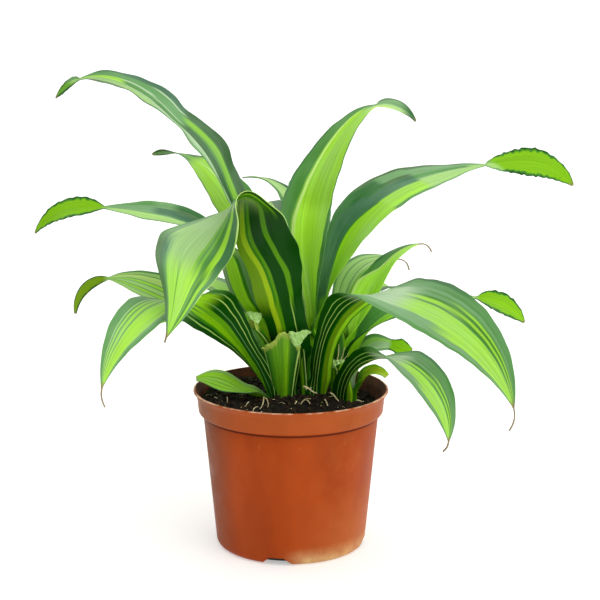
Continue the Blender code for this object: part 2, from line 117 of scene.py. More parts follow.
def add_node(
    tree: bpy.types.NodeTree, kind: str, inputs: dict | None = None, stops: tuple = (), **settings: object
) -> bpy.types.Node:
    """Adds a node with its settings, values and links.

    Args:
        tree: the tree that gets the node.
        kind: the node's type name, without its first word if that is ShaderNode.
        inputs: what goes into each input, by name or number: a value, a socket to link, or a
            node, whose first output in use is linked.
        stops: the places and colours of a colour ramp, from 0 to 1.
        **settings: attributes of the node itself.

    Returns:
        The new node.
    """
    node = tree.nodes.new(kind if "Node" in kind else f"ShaderNode{kind}")
    for key, value in settings.items():
        setattr(node, key, value)
    for key, value in (inputs or {}).items():
        if isinstance(value, bpy.types.Node):
            value = next(socket for socket in value.outputs if socket.enabled)
        if isinstance(value, bpy.types.NodeSocket):
            tree.links.new(value, node.inputs[key])
        else:
            node.inputs[key].default_value = value
    if stops:
        elements = node.color_ramp.elements
        for element, (position, colour) in zip(elements, (stops[0], stops[-1])):
            element.position = position
            element.color = colour
        for position, colour in stops[1:-1]:
            elements.new(min(max(position, 0.001), 0.999)).color = colour
    return node


def limits(low: float, high: float, at_low: float = 0.0, at_high: float = 1.0) -> dict[str, float]:
    """The inputs that make a value of low at_low and a value of high at_high, and all between."""
    return {"From Min": low, "From Max": high, "To Min": at_low, "To Max": at_high}


def mottle(
    tree: bpy.types.NodeTree, place: Source, scale: tuple, detail: float, roughness: float = 0.5
) -> bpy.types.Node:
    """An uneven pattern that is drawn out along one axis.

    Args:
        tree: the material's tree.
        place: the node or the socket with the place.
        scale: how often the pattern changes along each axis.
        detail: how many finer layers it has.
        roughness: how strong they are.

    Returns:
        The node with the pattern, even on average at 0.5.
    """
    drawn = add_node(tree, "Mapping", {"Vector": place, "Scale": scale})
    inputs = {"Vector": drawn, "Scale": 1.0, "Detail": detail, "Roughness": roughness}
    return add_node(tree, "TexNoise", inputs)


def bare_material(title: str) -> tuple[bpy.types.Material, bpy.types.NodeTree]:
    """A new material with an empty tree.

    Args:
        title: what it is and how it was made.

    Returns:
        The material and its tree.
    """
    made = bpy.data.materials.new(title)
    made.use_nodes = True
    made.node_tree.nodes.clear()
    return made, made.node_tree


def smooth(x: np.ndarray | float) -> np.ndarray:
    """An even ramp from 0 to 1."""
    x = np.clip(x, 0.0, 1.0)
    return x * x * (3.0 - 2.0 * x)


def along(values: tuple[float, ...], s: np.ndarray) -> np.ndarray:
    """A smooth curve through values at even steps.

    Args:
        values: the values, from s = 0 to s = 1.
        s: where to read the curve.

    Returns:
        The curve at s.
    """
    points = np.asarray(values, float)
    last = len(points) - 1
    x = np.clip(s, 0.0, 1.0) * last
    i = np.minimum(x.astype(int), last - 1)
    t = x - i
    before = np.where(i == 0, 2 * points[0] - points[1], points[np.maximum(i - 1, 0)])
    after = np.where(i == last - 1, 2 * points[-1] - points[-2], points[np.minimum(i + 2, last)])
    start, end = points[i], points[i + 1]
    return (
        (2 * t**3 - 3 * t**2 + 1) * start
        + (t**3 - 2 * t**2 + t) * (end - before) / 2
        + (3 * t**2 - 2 * t**3) * end
        + (t**3 - t**2) * (after - start) / 2
    )


def run_of(heading: np.ndarray, lift: np.ndarray) -> np.ndarray:
    """Unit vectors that point along each heading and lift, in radians."""
    flat = np.cos(lift)
    return np.stack([flat * np.cos(heading), flat * np.sin(heading), np.sin(lift)], -1)


def unit(vectors: np.ndarray) -> np.ndarray:
    """The vectors at length 1."""
    return vectors / np.maximum(np.linalg.norm(vectors, axis=-1, keepdims=True), 1e-9)


def link(name: str, data: bpy.types.ID) -> bpy.types.Object:
    """Puts a mesh, a lamp or a camera in the scene as an object at the origin.

    Args:
        name: the object's name.
        data: what it shows.

    Returns:
        The object.
    """
    made = bpy.data.objects.new(name, data)
    bpy.context.scene.collection.objects.link(made)
    return made


def settle(piece: bpy.types.Object, slot: str, *nodes: str) -> bpy.types.Object:
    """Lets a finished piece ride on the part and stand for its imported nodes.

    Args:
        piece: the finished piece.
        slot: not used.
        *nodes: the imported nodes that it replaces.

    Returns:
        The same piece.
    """
    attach(piece, "root")
    if nodes:
        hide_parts(*nodes)
    count = sum(len(p.vertices) - 2 for p in piece.data.polygons)
    LOG.info("%s: %d triangles, for %s", piece.name, count, ", ".join(nodes) or "detail only")
    return piece


def solid(name: str, points: np.ndarray, faces: list, *finishes: bpy.types.Material) -> bpy.types.Object:
    """Makes a smooth piece at the origin.

    Args:
        name: the name of the piece.
        points: its points, in millimetres.
        faces: the corners of each face.
        *finishes: its materials.

    Returns:
        The new object.
    """
    mesh = bpy.data.meshes.new(name)
    mesh.from_pydata((points * MM).tolist(), [], faces)
    for finish in finishes:
        mesh.materials.append(finish)
    mesh.shade_smooth()
    return link(name, mesh)


def ring_quads(gaps: int, count: int, start: int = 0) -> np.ndarray:
    """The faces between rings of points that follow each other.

    Args:
        gaps: how many gaps there are between the rings.
        count: how many points a ring has.
        start: the number of the first point.

    Returns:
        Four corners a face, first along the ring and then on the next one.
    """
    row = start + np.arange(gaps)[:, None] * count
    k = np.arange(count)
    onward = (k + 1) % count
    return np.stack([row + k, row + onward, row + count + onward, row + count + k], -1).reshape(-1, 4)


def mesh_from(shape: bmesh.types.BMesh, name: str) -> bpy.types.Mesh:
    """Turns a finished shape into a mesh, and frees it.

    Args:
        shape: the shape.
        name: the name of the mesh.

    Returns:
        The mesh.
    """
    mesh = bpy.data.meshes.new(name)
    shape.to_mesh(mesh)
    shape.free()
    return mesh


def make_plain(piece: bpy.types.Object) -> bpy.types.Mesh:
    """Turns what the modifiers of a piece make into its own mesh, and removes them.

    Args:
        piece: the piece.

    Returns:
        Its new mesh.
    """
    bpy.context.view_layer.update()
    graph = bpy.context.evaluated_depsgraph_get()
    finished = bpy.data.meshes.new_from_object(piece.evaluated_get(graph))
    piece.modifiers.clear()
    piece.data = finished
    finished.shade_smooth()
    return finished


def closed_sheet(
    name: str,
    grid: np.ndarray,
    upward: np.ndarray,
    thickness: np.ndarray,
    chart: tuple[np.ndarray, np.ndarray],
    finishes: list[bpy.types.Material],
) -> bpy.types.Object:
    """A thin closed body on both sides of a grid of points.

    Args:
        name: the object's name.
        grid: rows by columns of points, in millimetres.
        upward: one vector a row, on the side of the upper face.
        thickness: the thickness at each point, in millimetres.
        chart: how far each point is across and along, as shares.
        finishes: the materials of the upper face, the underside and the rim.

    Returns:
        The object, with its UV map.
    """
    rows, columns = grid.shape[:2]
    normal = unit(np.cross(np.gradient(grid, axis=0), np.gradient(grid, axis=1)))
    turned = float(np.sum(normal[:, columns // 2] * upward)) < 0
    half = (-normal if turned else normal) * thickness[..., None] / 2
    points = np.concatenate([(grid + half).reshape(-1, 3), (grid - half).reshape(-1, 3)])
    index = np.arange(rows * columns).reshape(rows, columns)
    quads = np.stack([index[:-1, :-1], index[1:, :-1], index[1:, 1:], index[:-1, 1:]], -1).reshape(-1, 4)
    loop = np.concatenate([index[:, 0], index[-1, 1:], index[-2::-1, -1], index[0, -2:0:-1]])
    onward = np.roll(loop, -1)
    rim = np.stack([onward, loop, loop + rows * columns, onward + rows * columns], -1)
    if turned:
        quads, rim = quads[:, ::-1], rim[:, ::-1]
    under = quads[:, ::-1] + rows * columns
    faces = np.concatenate([quads, under, rim])
    piece = solid(name, points, faces.tolist(), *finishes)
    places = np.stack([np.broadcast_to(part, (rows, columns)) for part in chart], -1).reshape(-1, 2)
    layer = piece.data.uv_layers.new(name=BLADE_CHART)
    layer.data.foreach_set("uv", places[faces.reshape(-1) % (rows * columns)].astype(np.float32).reshape(-1))
    kinds = np.repeat([0, 1, 2], [len(quads), len(under), len(rim)])
    piece.data.polygons.foreach_set("material_index", kinds.astype(np.int32))
    piece.data.set_sharp_from_angle(angle=SHARP_FOLD)
    piece.data.update()
    return piece


@dataclass(frozen=True)
class Variegation:
    """The stripes of one blade, from its left edge to its right edge seen from above.

    Each layout starts at a share of the blade's length and lists its stripes as a width in
    hundredths of the blade and the letter of a tone. change is how long a layout takes over, and
    slant how much later it starts at the right edge. lean moves the stripes to the left by a
    share of the width at the foot, and fades out between two shares of the length. Past dull_from
    the blade has little wax and a ragged dark edge.
    """

    layouts: dict[float, str]
    change: float = 0.03
    dull_from: float = 2.0
    slant: float = 0.0
    lean: tuple[float, float, float] = (0.0, 0.3, 0.6)


@dataclass(frozen=True)
class BladeFinish:
    """A living dracaena blade: a waxy cuticle over tissue that lets a fifth of the light through.

    The wax gives the upper face a soft grey sheen where it lies flat to the light, over clouds of
    painted sheen in its colour, and the underside has hardly any. The parallel veins give fine lines
    along the blade. A vein is about 0.6 mm from the next, which is drawn at 1.3 mm so that it shows.
    """

    stripes: Variegation
    roughness: float = 0.36
    wax: tuple[float, float] = (0.65, 0.14)
    painted_sheen: float = 0.30
    painted_sheen_tone: str = "#9CC8A2"
    through: float = 0.22
    through_tint: Colour = (1.0, 0.98, 0.55, 1.0)
    vein_pitch: float = 1.3
    vein_length: float = 90.0
    vein_shade: tuple[float, float] = (0.85, 1.12)
    wander: float = 0.016
    wander_length: float = 34.0
    cloud_length: float = 60.0
    tooth: float = 0.05
    tooth_length: float = 3.2
    dry_from: float = 0.985
    dry: str = "#8E7C56"
    stripe_edge: float = 0.010

    def stops(self, bands: str, face: Face) -> tuple[tuple[float, Colour], ...]:
        """The places and colours of one layout across the blade, with soft edges.

        Args:
            bands: the layout.
            face: which face the tones are for.

        Returns:
            The place and the colour of each stop.
        """
        letters = {tone.value[0]: tone.colour(face) for tone in Tone}
        shares = np.array([float(band[:-1]) for band in bands.split()])
        shares = (shares / shares.sum()).tolist()
        tones = [letters[band[-1]] for band in bands.split()]
        made = [(0.0, tones[0])]
        edge = 0.0
        for share, following, tone, after in zip(shares, shares[1:], tones, tones[1:]):
            edge += share
            soft = min(self.stripe_edge, share / 3, following / 3)
            made += [(edge - soft, tone), (edge + soft, after)]
        return (*made, (1.0, tones[-1]))

    def striped(
        self, tree: bpy.types.NodeTree, face: Face, length: float, chart: Source, dull: Source
    ) -> bpy.types.Node:
        """The stripes, before bloom, veins and age.

        Args:
            tree: the material's tree.
            face: the face that it is for.
            length: the blade's length in millimetres.
            chart: the node with the place on the blade.
            dull: the node that says where the blade has little wax.

        Returns:
            The node with the colour.
        """
        place, onward = add_node(tree, "SeparateXYZ", {0: chart}).outputs[:2]
        late = {0: place, 1: -self.stripes.slant, 2: onward}
        slanted = add_node(tree, "Math", late, operation="MULTIPLY_ADD")
        # The stripes wander by a millimetre over a few centimetres
        wander = mottle(tree, chart, (2.0, length / self.wander_length, 1.0), 1.0)
        span = limits(*NOISE_SPAN, -self.wander, self.wander)
        shift = add_node(tree, "MapRange", {"Value": wander, **span})
        place = add_node(tree, "Math", {0: place, 1: shift}, operation="ADD")
        amount, fade_from, fade_to = self.stripes.lean
        if amount:
            fading = {"Value": onward, **limits(fade_from, fade_to, amount, 0.0)}
            lean = add_node(tree, "MapRange", fading, interpolation_type="SMOOTHSTEP")
            place = add_node(tree, "Math", {0: place, 1: lean}, operation="ADD")
        # Dry lobes at the tip have a ragged edge, in teeth of a few millimetres
        teeth = mottle(tree, chart, (4.0, length / self.tooth_length, 1.0), 2.0)
        uneven = add_node(tree, "MapRange", {"Value": teeth, **limits(*NOISE_SPAN, -self.tooth, self.tooth)})
        place = add_node(tree, "Math", {0: uneven, 1: dull, 2: place}, operation="MULTIPLY_ADD")
        colour = None
        for start, bands in self.stripes.layouts.items():
            layout = add_node(tree, "ValToRGB", {"Fac": place}, self.stops(bands, face))
            if colour is None:
                colour = layout
                continue
            turn = limits(start - self.stripes.change, start + self.stripes.change)
            part = add_node(tree, "MapRange", {"Value": slanted, **turn}, interpolation_type="SMOOTHSTEP")
            colour = add_node(tree, "Mix", {"Factor": part, "A": colour, "B": layout}, data_type="RGBA")
        return colour

    def material(self, name: str, face: Face, width: float, length: float) -> bpy.types.Material:
        """The material of one face of one blade.

        Args:
            name: the blade's name.
            face: the face that it is for.
            width: the blade's width in millimetres.
            length: the blade's length in millimetres.

        Returns:
            The material, which reads the blade's UV map.
        """
        title = f"Waxy leaf blade, {'upper face' if face is Face.UPPER else 'underside'}, {name}"
        if title in bpy.data.materials:
            return bpy.data.materials[title]
        made, tree = bare_material(title)
        chart = add_node(tree, "UVMap", uv_map=BLADE_CHART)
        onward = add_node(tree, "SeparateXYZ", {0: chart}).outputs["Y"]
        turn = limits(self.stripes.dull_from - 0.02, self.stripes.dull_from + 0.02)
        dull = add_node(tree, "MapRange", {"Value": onward, **turn}, interpolation_type="SMOOTHSTEP")
        colour = self.striped(tree, face, length, chart, dull)
        shine = self.wax[face.value]
        if face is Face.UPPER:
            # The painted sheen lies in clouds half as wide as the blade and 6 cm long, and not where it is
            # dull
            clouds = mottle(tree, chart, (2.2, length / self.cloud_length, 1.0), 3.0, 0.55)
            film = {"Value": clouds, **limits(0.42, 0.72, 0.0, self.painted_sheen)}
            film = {"Value": dull, "To Min": add_node(tree, "MapRange", film), "To Max": 0.0}
            painted_sheen = {"Factor": add_node(tree, "MapRange", film), "A": colour, "B": linear(self.painted_sheen_tone)}
            colour = add_node(tree, "Mix", painted_sheen, data_type="RGBA")
            if self.stripes.dull_from < 1.0:
                worn = {"Value": dull, "To Min": shine, "To Max": self.wax[1]}
                shine = add_node(tree, "MapRange", worn)
        # Veins run the whole length, so their pattern is stretched along the blade
        veins = mottle(tree, chart, (width / self.vein_pitch, length / self.vein_length, 1.0), 3.0)
        shade = add_node(tree, "MapRange", {"Value": veins, **limits(*NOISE_SPAN, *self.vein_shade)})
        lined = {"Factor": 1.0, "A": colour, "B": shade}
        colour = add_node(tree, "Mix", lined, data_type="RGBA", blend_type="MULTIPLY")
        # Old tissue at the very tip dries to a brown thread
        spots = add_node(tree, "Math", {0: veins, 1: 0.03, 2: onward}, operation="MULTIPLY_ADD")
        drying = {"Value": spots, **limits(self.dry_from + 0.010, self.dry_from + 0.035)}
        dried = add_node(tree, "MapRange", drying, interpolation_type="SMOOTHSTEP")
        colour = add_node(
            tree, "Mix", {"Factor": dried, "A": colour, "B": linear(self.dry)}, data_type="RGBA"
        )
        relief = add_node(tree, "Bump", {"Height": veins, "Strength": 0.35, "Distance": 0.25 * MM})
        uneven = limits(*NOISE_SPAN, self.roughness - 0.05, self.roughness + 0.08)
        inputs = {
            "Base Color": colour,
            "Roughness": add_node(tree, "MapRange", {"Value": veins, **uneven}),
            "IOR": 1.45,
            "Specular IOR Level": shine,
            "Normal": relief,
        }
        skin = add_node(tree, "BsdfPrincipled", inputs)
        tinted = {"Factor": 1.0, "A": colour, "B": self.through_tint}
        glow = add_node(tree, "Mix", tinted, data_type="RGBA", blend_type="MULTIPLY")
        flesh = add_node(tree, "BsdfTranslucent", {"Color": glow, "Normal": relief})
        both = add_node(tree, "MixShader", {"Fac": self.through, 1: skin, 2: flesh})
        add_node(tree, "OutputMaterial", {"Surface": both})
        return made


@dataclass(frozen=True)
class PlainFinish:
    """A matt or satin natural surface whose colour wanders between two tones over a grain.

    grain is the size of its specks in millimetres, and relief how deep they are.
    """

    name: str
    first: str
    second: str
    roughness: float
    grain: float
    relief: float = 0.1
    ior: float = 1.45

    def material(self) -> bpy.types.Material:
        """Makes the material.

        Returns:
            The material, on Object coordinates.
        """
        made, tree = bare_material(self.name)
        place = add_node(tree, "TexCoord").outputs["Object"]
        scale = 1.0 / (self.grain * MM)
        specks = add_node(tree, "TexNoise", {"Vector": place, "Scale": scale, "Detail": 4.0})
        spread = add_node(tree, "MapRange", {"Value": specks, **limits(0.35, 0.65)})
        tones = {"Factor": spread, "A": linear(self.first), "B": linear(self.second)}
        bump = {"Height": specks, "Strength": 0.8, "Distance": self.relief * MM}
        inputs = {
            "Base Color": add_node(tree, "Mix", tones, data_type="RGBA"),
            "Roughness": self.roughness,
            "IOR": self.ior,
            "Normal": add_node(tree, "Bump", bump),
        }
        add_node(tree, "OutputMaterial", {"Surface": add_node(tree, "BsdfPrincipled", inputs)})
        return made


@dataclass(frozen=True)
class PotFinish:
    """Injection-moulded polypropylene in a terracotta colour, dusty low on one side.

    The mould leaves a satin skin. Handling has worn the lip pale, and a painted highlight runs along
    its top. Painted shade darkens the groove under the band and the left side, and splashed water
    has left beige lime and mix round the foot.
    """

    clay: str = "#A6430E"
    clay_shade: str = "#92380A"
    # The pale lip tone is partly worn plastic and partly a painted highlight on the top of the lip
    worn: str = "#E6B79C"
    lime: str = "#D2B47E"
    haze: str = "#C07844"
    # The two darkest tones are painted shade, one in the groove under the band and one on the left side
    groove_shade: str = "#5E2008"
    painted_left_shade: str = "#5E4026"
    roughness: float = 0.42
    gloss: float = 0.10

    def material(self, pot: "NurseryPot") -> bpy.types.Material:
        """The material of the outside.

        Args:
            pot: the pot, for its heights.

        Returns:
            The material, on Object coordinates.
        """
        made, tree = bare_material("Polypropylene, injection moulded, terracotta colour")
        place = add_node(tree, "TexCoord").outputs["Object"]
        x, _, z = add_node(tree, "SeparateXYZ", {0: place}).outputs
        # Pigment swirls, 25 mm across and drawn out upwards by the flow of the melt
        swirl = mottle(tree, place, (1 / 0.025, 1 / 0.025, 1 / 0.06), 3.0)
        # Dust in specks of about a centimetre, and scuffs a few millimetres long from a stack
        grains = {"Vector": place, "Scale": 1 / 0.011, "Detail": 5.0, "Roughness": 0.6}
        dust = add_node(tree, "TexNoise", grains)
        scuffs = mottle(tree, place, (1 / 0.004, 1 / 0.004, 1 / 0.010), 2.0)
        groove, top = pot.groove, pot.height
        # Each mask goes from 0 at its first height or distance to 1 at its second, in millimetres
        edges = {
            "right": (x, -5.0, 62.0),
            "right of the foot": (x, -8.0, 14.0),
            "left flank": (x, -34.0, -64.0),
            "low": (z, 60.0, 4.0),
            "foot": (z, 15.0, 0.0),
            "rim band": (z, groove, groove + 4.0),
            "under the band": (z, groove + 1.5, groove + 0.3),
            "over the body": (z, groove - 1.3, groove - 0.3),
            "lip": (z, top - 0.9, top - 0.4),
        }
        masks = {
            key: add_node(
                tree,
                "MapRange",
                {"Value": value, **limits(start * MM, end * MM)},
                interpolation_type="SMOOTHSTEP",
            )
            for key, (value, start, end) in edges.items()
        }
        patterns = {
            "swirl": (swirl, *NOISE_SPAN),
            "speck": (dust, 0.36, 0.66),
            "patch": (dust, 0.30, 0.60, 0.35),
            "lip_wear_and_highlight": (dust, 0.40, 0.60),
            "scuff": (scuffs, 0.70, 0.82),
        }
        for key, (value, *ends) in patterns.items():
            masks[key] = add_node(tree, "MapRange", {"Value": value, **limits(*ends)})
        # Haze on the right thickens to lime at the foot, and painted shade browns the left side
        coats = (
            (self.clay, 1.0, "swirl"),
            (self.haze, 0.16, "right", "speck"),
            (self.lime, 0.95, "foot", "right of the foot", "patch"),
            (self.haze, 0.42, "low", "right"),
            # Painted shade on the left side, away from the lamps
            (self.painted_left_shade, 0.62, "left flank"),
            (self.haze, 0.16, "rim band"),
            (self.haze, 0.30, "scuff"),
            # Painted shade: a dark line in the groove where the band steps in over the body
            (self.groove_shade, 1.0, "under the band", "over the body"),
            # The pale line on top of the lip is partly worn and partly a painted highlight
            (self.worn, 1.0, "lip", "lip_wear_and_highlight"),
        )
        colour = linear(self.clay_shade)
        for tone, share, *keys in coats:
            for key in keys:
                product = {0: share, 1: masks[key]}
                share = add_node(tree, "Math", product, operation="MULTIPLY", use_clamp=True)
            coat = {"Factor": share, "A": colour, "B": linear(tone)}
            colour = add_node(tree, "Mix", coat, data_type="RGBA")
        uneven = limits(*NOISE_SPAN, self.roughness - 0.06, self.roughness + 0.14)
        inputs = {
            "Base Color": colour,
            "Roughness": add_node(tree, "MapRange", {"Value": dust, **uneven}),
            "Normal": add_node(tree, "Bump", {"Height": dust, "Strength": 0.25, "Distance": 0.12 * MM}),
            "IOR": 1.49,
            "Specular IOR Level": self.gloss,
        }
        add_node(tree, "OutputMaterial", {"Surface": add_node(tree, "BsdfPrincipled", inputs)})
        return made


@dataclass(frozen=True)
class SheathFinish:
    """The thick foot of an old leaf: smooth and green, with parallel ribs, torn pale at its top.

    A vivid band across it is a painted highlight, and its sides are painted darker as shade.
    """

    body: Tone = Tone.LEAF
    shaded_flank: Tone = Tone.GREEN
    torn: str = "#A9C24E"
    torn_from: float = 0.93
    roughness: float = 0.34
    rib_pitch: float = 1.6

    def material(self, name: str, face: Face, width: float) -> bpy.types.Material:
        """The material of one face of a sheath.

        Args:
            name: the sheath's name.
            face: the face that it is for.
            width: the width of the sheath in millimetres.

        Returns:
            The material, which reads the UV map of the sheath.
        """
        made, tree = bare_material(f"Leaf sheath, {face.name.lower()} face, {name}")
        chart = add_node(tree, "UVMap", uv_map=BLADE_CHART)
        across, onward = add_node(tree, "SeparateXYZ", {0: chart}).outputs[:2]
        ribs = mottle(tree, chart, (width / self.rib_pitch, 0.8, 1.0), 3.0)
        # The darker sides are painted shade, and the vivid band past the middle is a painted highlight
        tones = (
            (0.0, Tone.MINT), (0.025, Tone.MINT), (0.045, Tone.DEEP), (0.12, self.shaded_flank),
            (0.30, self.body), (0.52, self.body), (0.60, Tone.VIVID), (0.68, Tone.VIVID),
            (0.78, self.shaded_flank), (0.93, Tone.DEEP), (0.965, Tone.CREAM), (1.0, Tone.CREAM),
        )
        stops = tuple((position, tone.colour(Face.UNDER)) for position, tone in tones)
        colour = add_node(tree, "ValToRGB", {"Fac": across}, stops)
        shade = add_node(tree, "MapRange", {"Value": ribs, **limits(*NOISE_SPAN, 0.72, 1.15)})
        ribbed = {"Factor": 1.0, "A": colour, "B": shade}
        colour = add_node(tree, "Mix", ribbed, data_type="RGBA", blend_type="MULTIPLY")
        height = add_node(tree, "Math", {0: ribs, 1: 0.10, 2: onward}, operation="MULTIPLY_ADD")
        pale = {"Value": height, **limits(self.torn_from + 0.03, self.torn_from + 0.09)}
        torn = {"Factor": add_node(tree, "MapRange", pale), "A": colour, "B": linear(self.torn)}
        inputs = {
            "Base Color": add_node(tree, "Mix", torn, data_type="RGBA"),
            "Roughness": self.roughness,
            "IOR": 1.45,
            "Normal": add_node(tree, "Bump", {"Height": ribs, "Strength": 0.5, "Distance": 0.3 * MM}),
        }
        add_node(tree, "OutputMaterial", {"Surface": add_node(tree, "BsdfPrincipled", inputs)})
        return made


# The thin edges of a sheath dry matt and paler than its faces
SHEATH_EDGE = PlainFinish("Leaf sheath, thin dry edge", "#B7CE86", "#8FB254", 0.6, 2.0, 0.05)
# Torn flesh is pale and dull, and rough where its fibres pulled out
TORN_TISSUE = PlainFinish("Torn leaf tissue, pale and dry", "#B4DC8A", "#8CBF58", 0.6, 1.6, 0.3)
# The inside of the pot is the same moulded wall, painted darker all over as shade,
# and darker still in wide patches where wet mix lay
INNER_WALL_SHADE_AND_STAIN = PlainFinish("Polypropylene, inside wall stained by mix", "#7E3814", "#4A1E0C", 0.62, 14.0, 0.05)
# Wet peat is near black and has no shine, and crumbs of a millimetre or two roughen it
PEAT = PlainFinish("Potting mix, wet peat", "#090502", "#1E1409", 0.95, 1.6, 0.9)
# Milled bark gives dark brown crumbs, each nearly of one tone
BARK = PlainFinish("Potting mix, bark crumbs", "#0C0704", "#3A2514", 0.9, 3.5, 0.3)
# Half rotted moss and leaf give dull olive crumbs
MOSS_BITS = PlainFinish("Moss and leaf crumbs, half rotted", "#6B7A2A", "#3C4416", 0.9, 1.2, 0.2)
# Perlite, puffed up by heat, gives chalky white grains with fine pores
PERLITE = PlainFinish("Perlite grain, expanded glass", "#E9E4DA", "#BDB2A0", 0.8, 0.8, 0.2)
# Roots that dried in the air are cream and show as thin bright lines on the mix
ROOT = PlainFinish("Root fibre, dried pale", "#F4EAC6", "#D2BC84", 0.7, 1.5, 0.05)


@dataclass(frozen=True)
class Shoot:
    """One shoot of the plant. x and y are its axis and tip the height of its furled leaf, in mm."""

    x: float
    y: float
    tip: float
    radius: float = 8.0
    top_radius: float = 4.5
    taper_from: float = 105.0
    taper: float = 45.0

    def girth(self, z: np.ndarray | float) -> np.ndarray:
        """The radius of the stem at height z, in millimetres."""
        share = np.clip((np.asarray(z, float) - self.taper_from) / self.taper, 0.0, 1.0)
        return self.radius + (self.top_radius - self.radius) * share


SHOOTS = {
    "a": Shoot(-4.0, 6.0, 161.0),
    "b": Shoot(16.0, 8.0, 158.0),
    "c": Shoot(37.0, 10.0, 156.0),
}

# Where the clasping feet of the leaves go into the mix, how far a blade stands off its stem, how
# much further each lower one does, and over what length its roll and trough set in, in millimetres
SHEATH_FOOT = 99.0
BLADE_OFFSET = 0.9
LAYER = 0.35
SETTLING = 16.0
# The width of a tip, half the width of a dry thread, and the two pitches of a frayed margin
TIP_WIDTH = 1.6
THREAD_HALF = 0.45
TEETH = (6.9, 4.3)
# The section of a blade in millimetres: its pleats, its thickness, and the groove and the rib along
# its middle, each as its depth and its half width
PLEAT_PITCH = 9.0
PLEAT_DEPTH = 0.22
THICKNESS = 0.42
GROOVE = (0.45, 1.1)
RIB = (0.45, 2.5)
# How finely a midrib is followed, and how far apart the rows of a blade are, in millimetres
PATH_STEPS = 320
THREAD_STEPS = 18
EASING = 12
ROW_PITCH = 2.1


@dataclass(frozen=True)
class Crumple:
    """How a blade is pushed out of true where it folds over, in mm at even steps of its length.

    first and last move the two margins to the right, and lift raises the first margin. All of
    them end in 0, and start and end are shares of the length.
    """

    start: float
    end: float
    first: tuple[float, ...]
    last: tuple[float, ...]
    lift: tuple[float, ...]

    def offset(self, s: np.ndarray, c: np.ndarray) -> np.ndarray:
        """How far the blade moves.

        Args:
            s: the share of the length of each row.
            c: the place across, from 1 to -1.

        Returns:
            The movement of each point, in millimetres.
        """
        t = (s - self.start) / (self.end - self.start)
        near = ((1.0 + c) / 2) ** 1.5
        first, last, lift = (along(values, t)[:, None] for values in (self.first, self.last, self.lift))
        right = first * near + last * (1.0 - near)
        return np.stack([right, 0 * right, lift * near], -1)


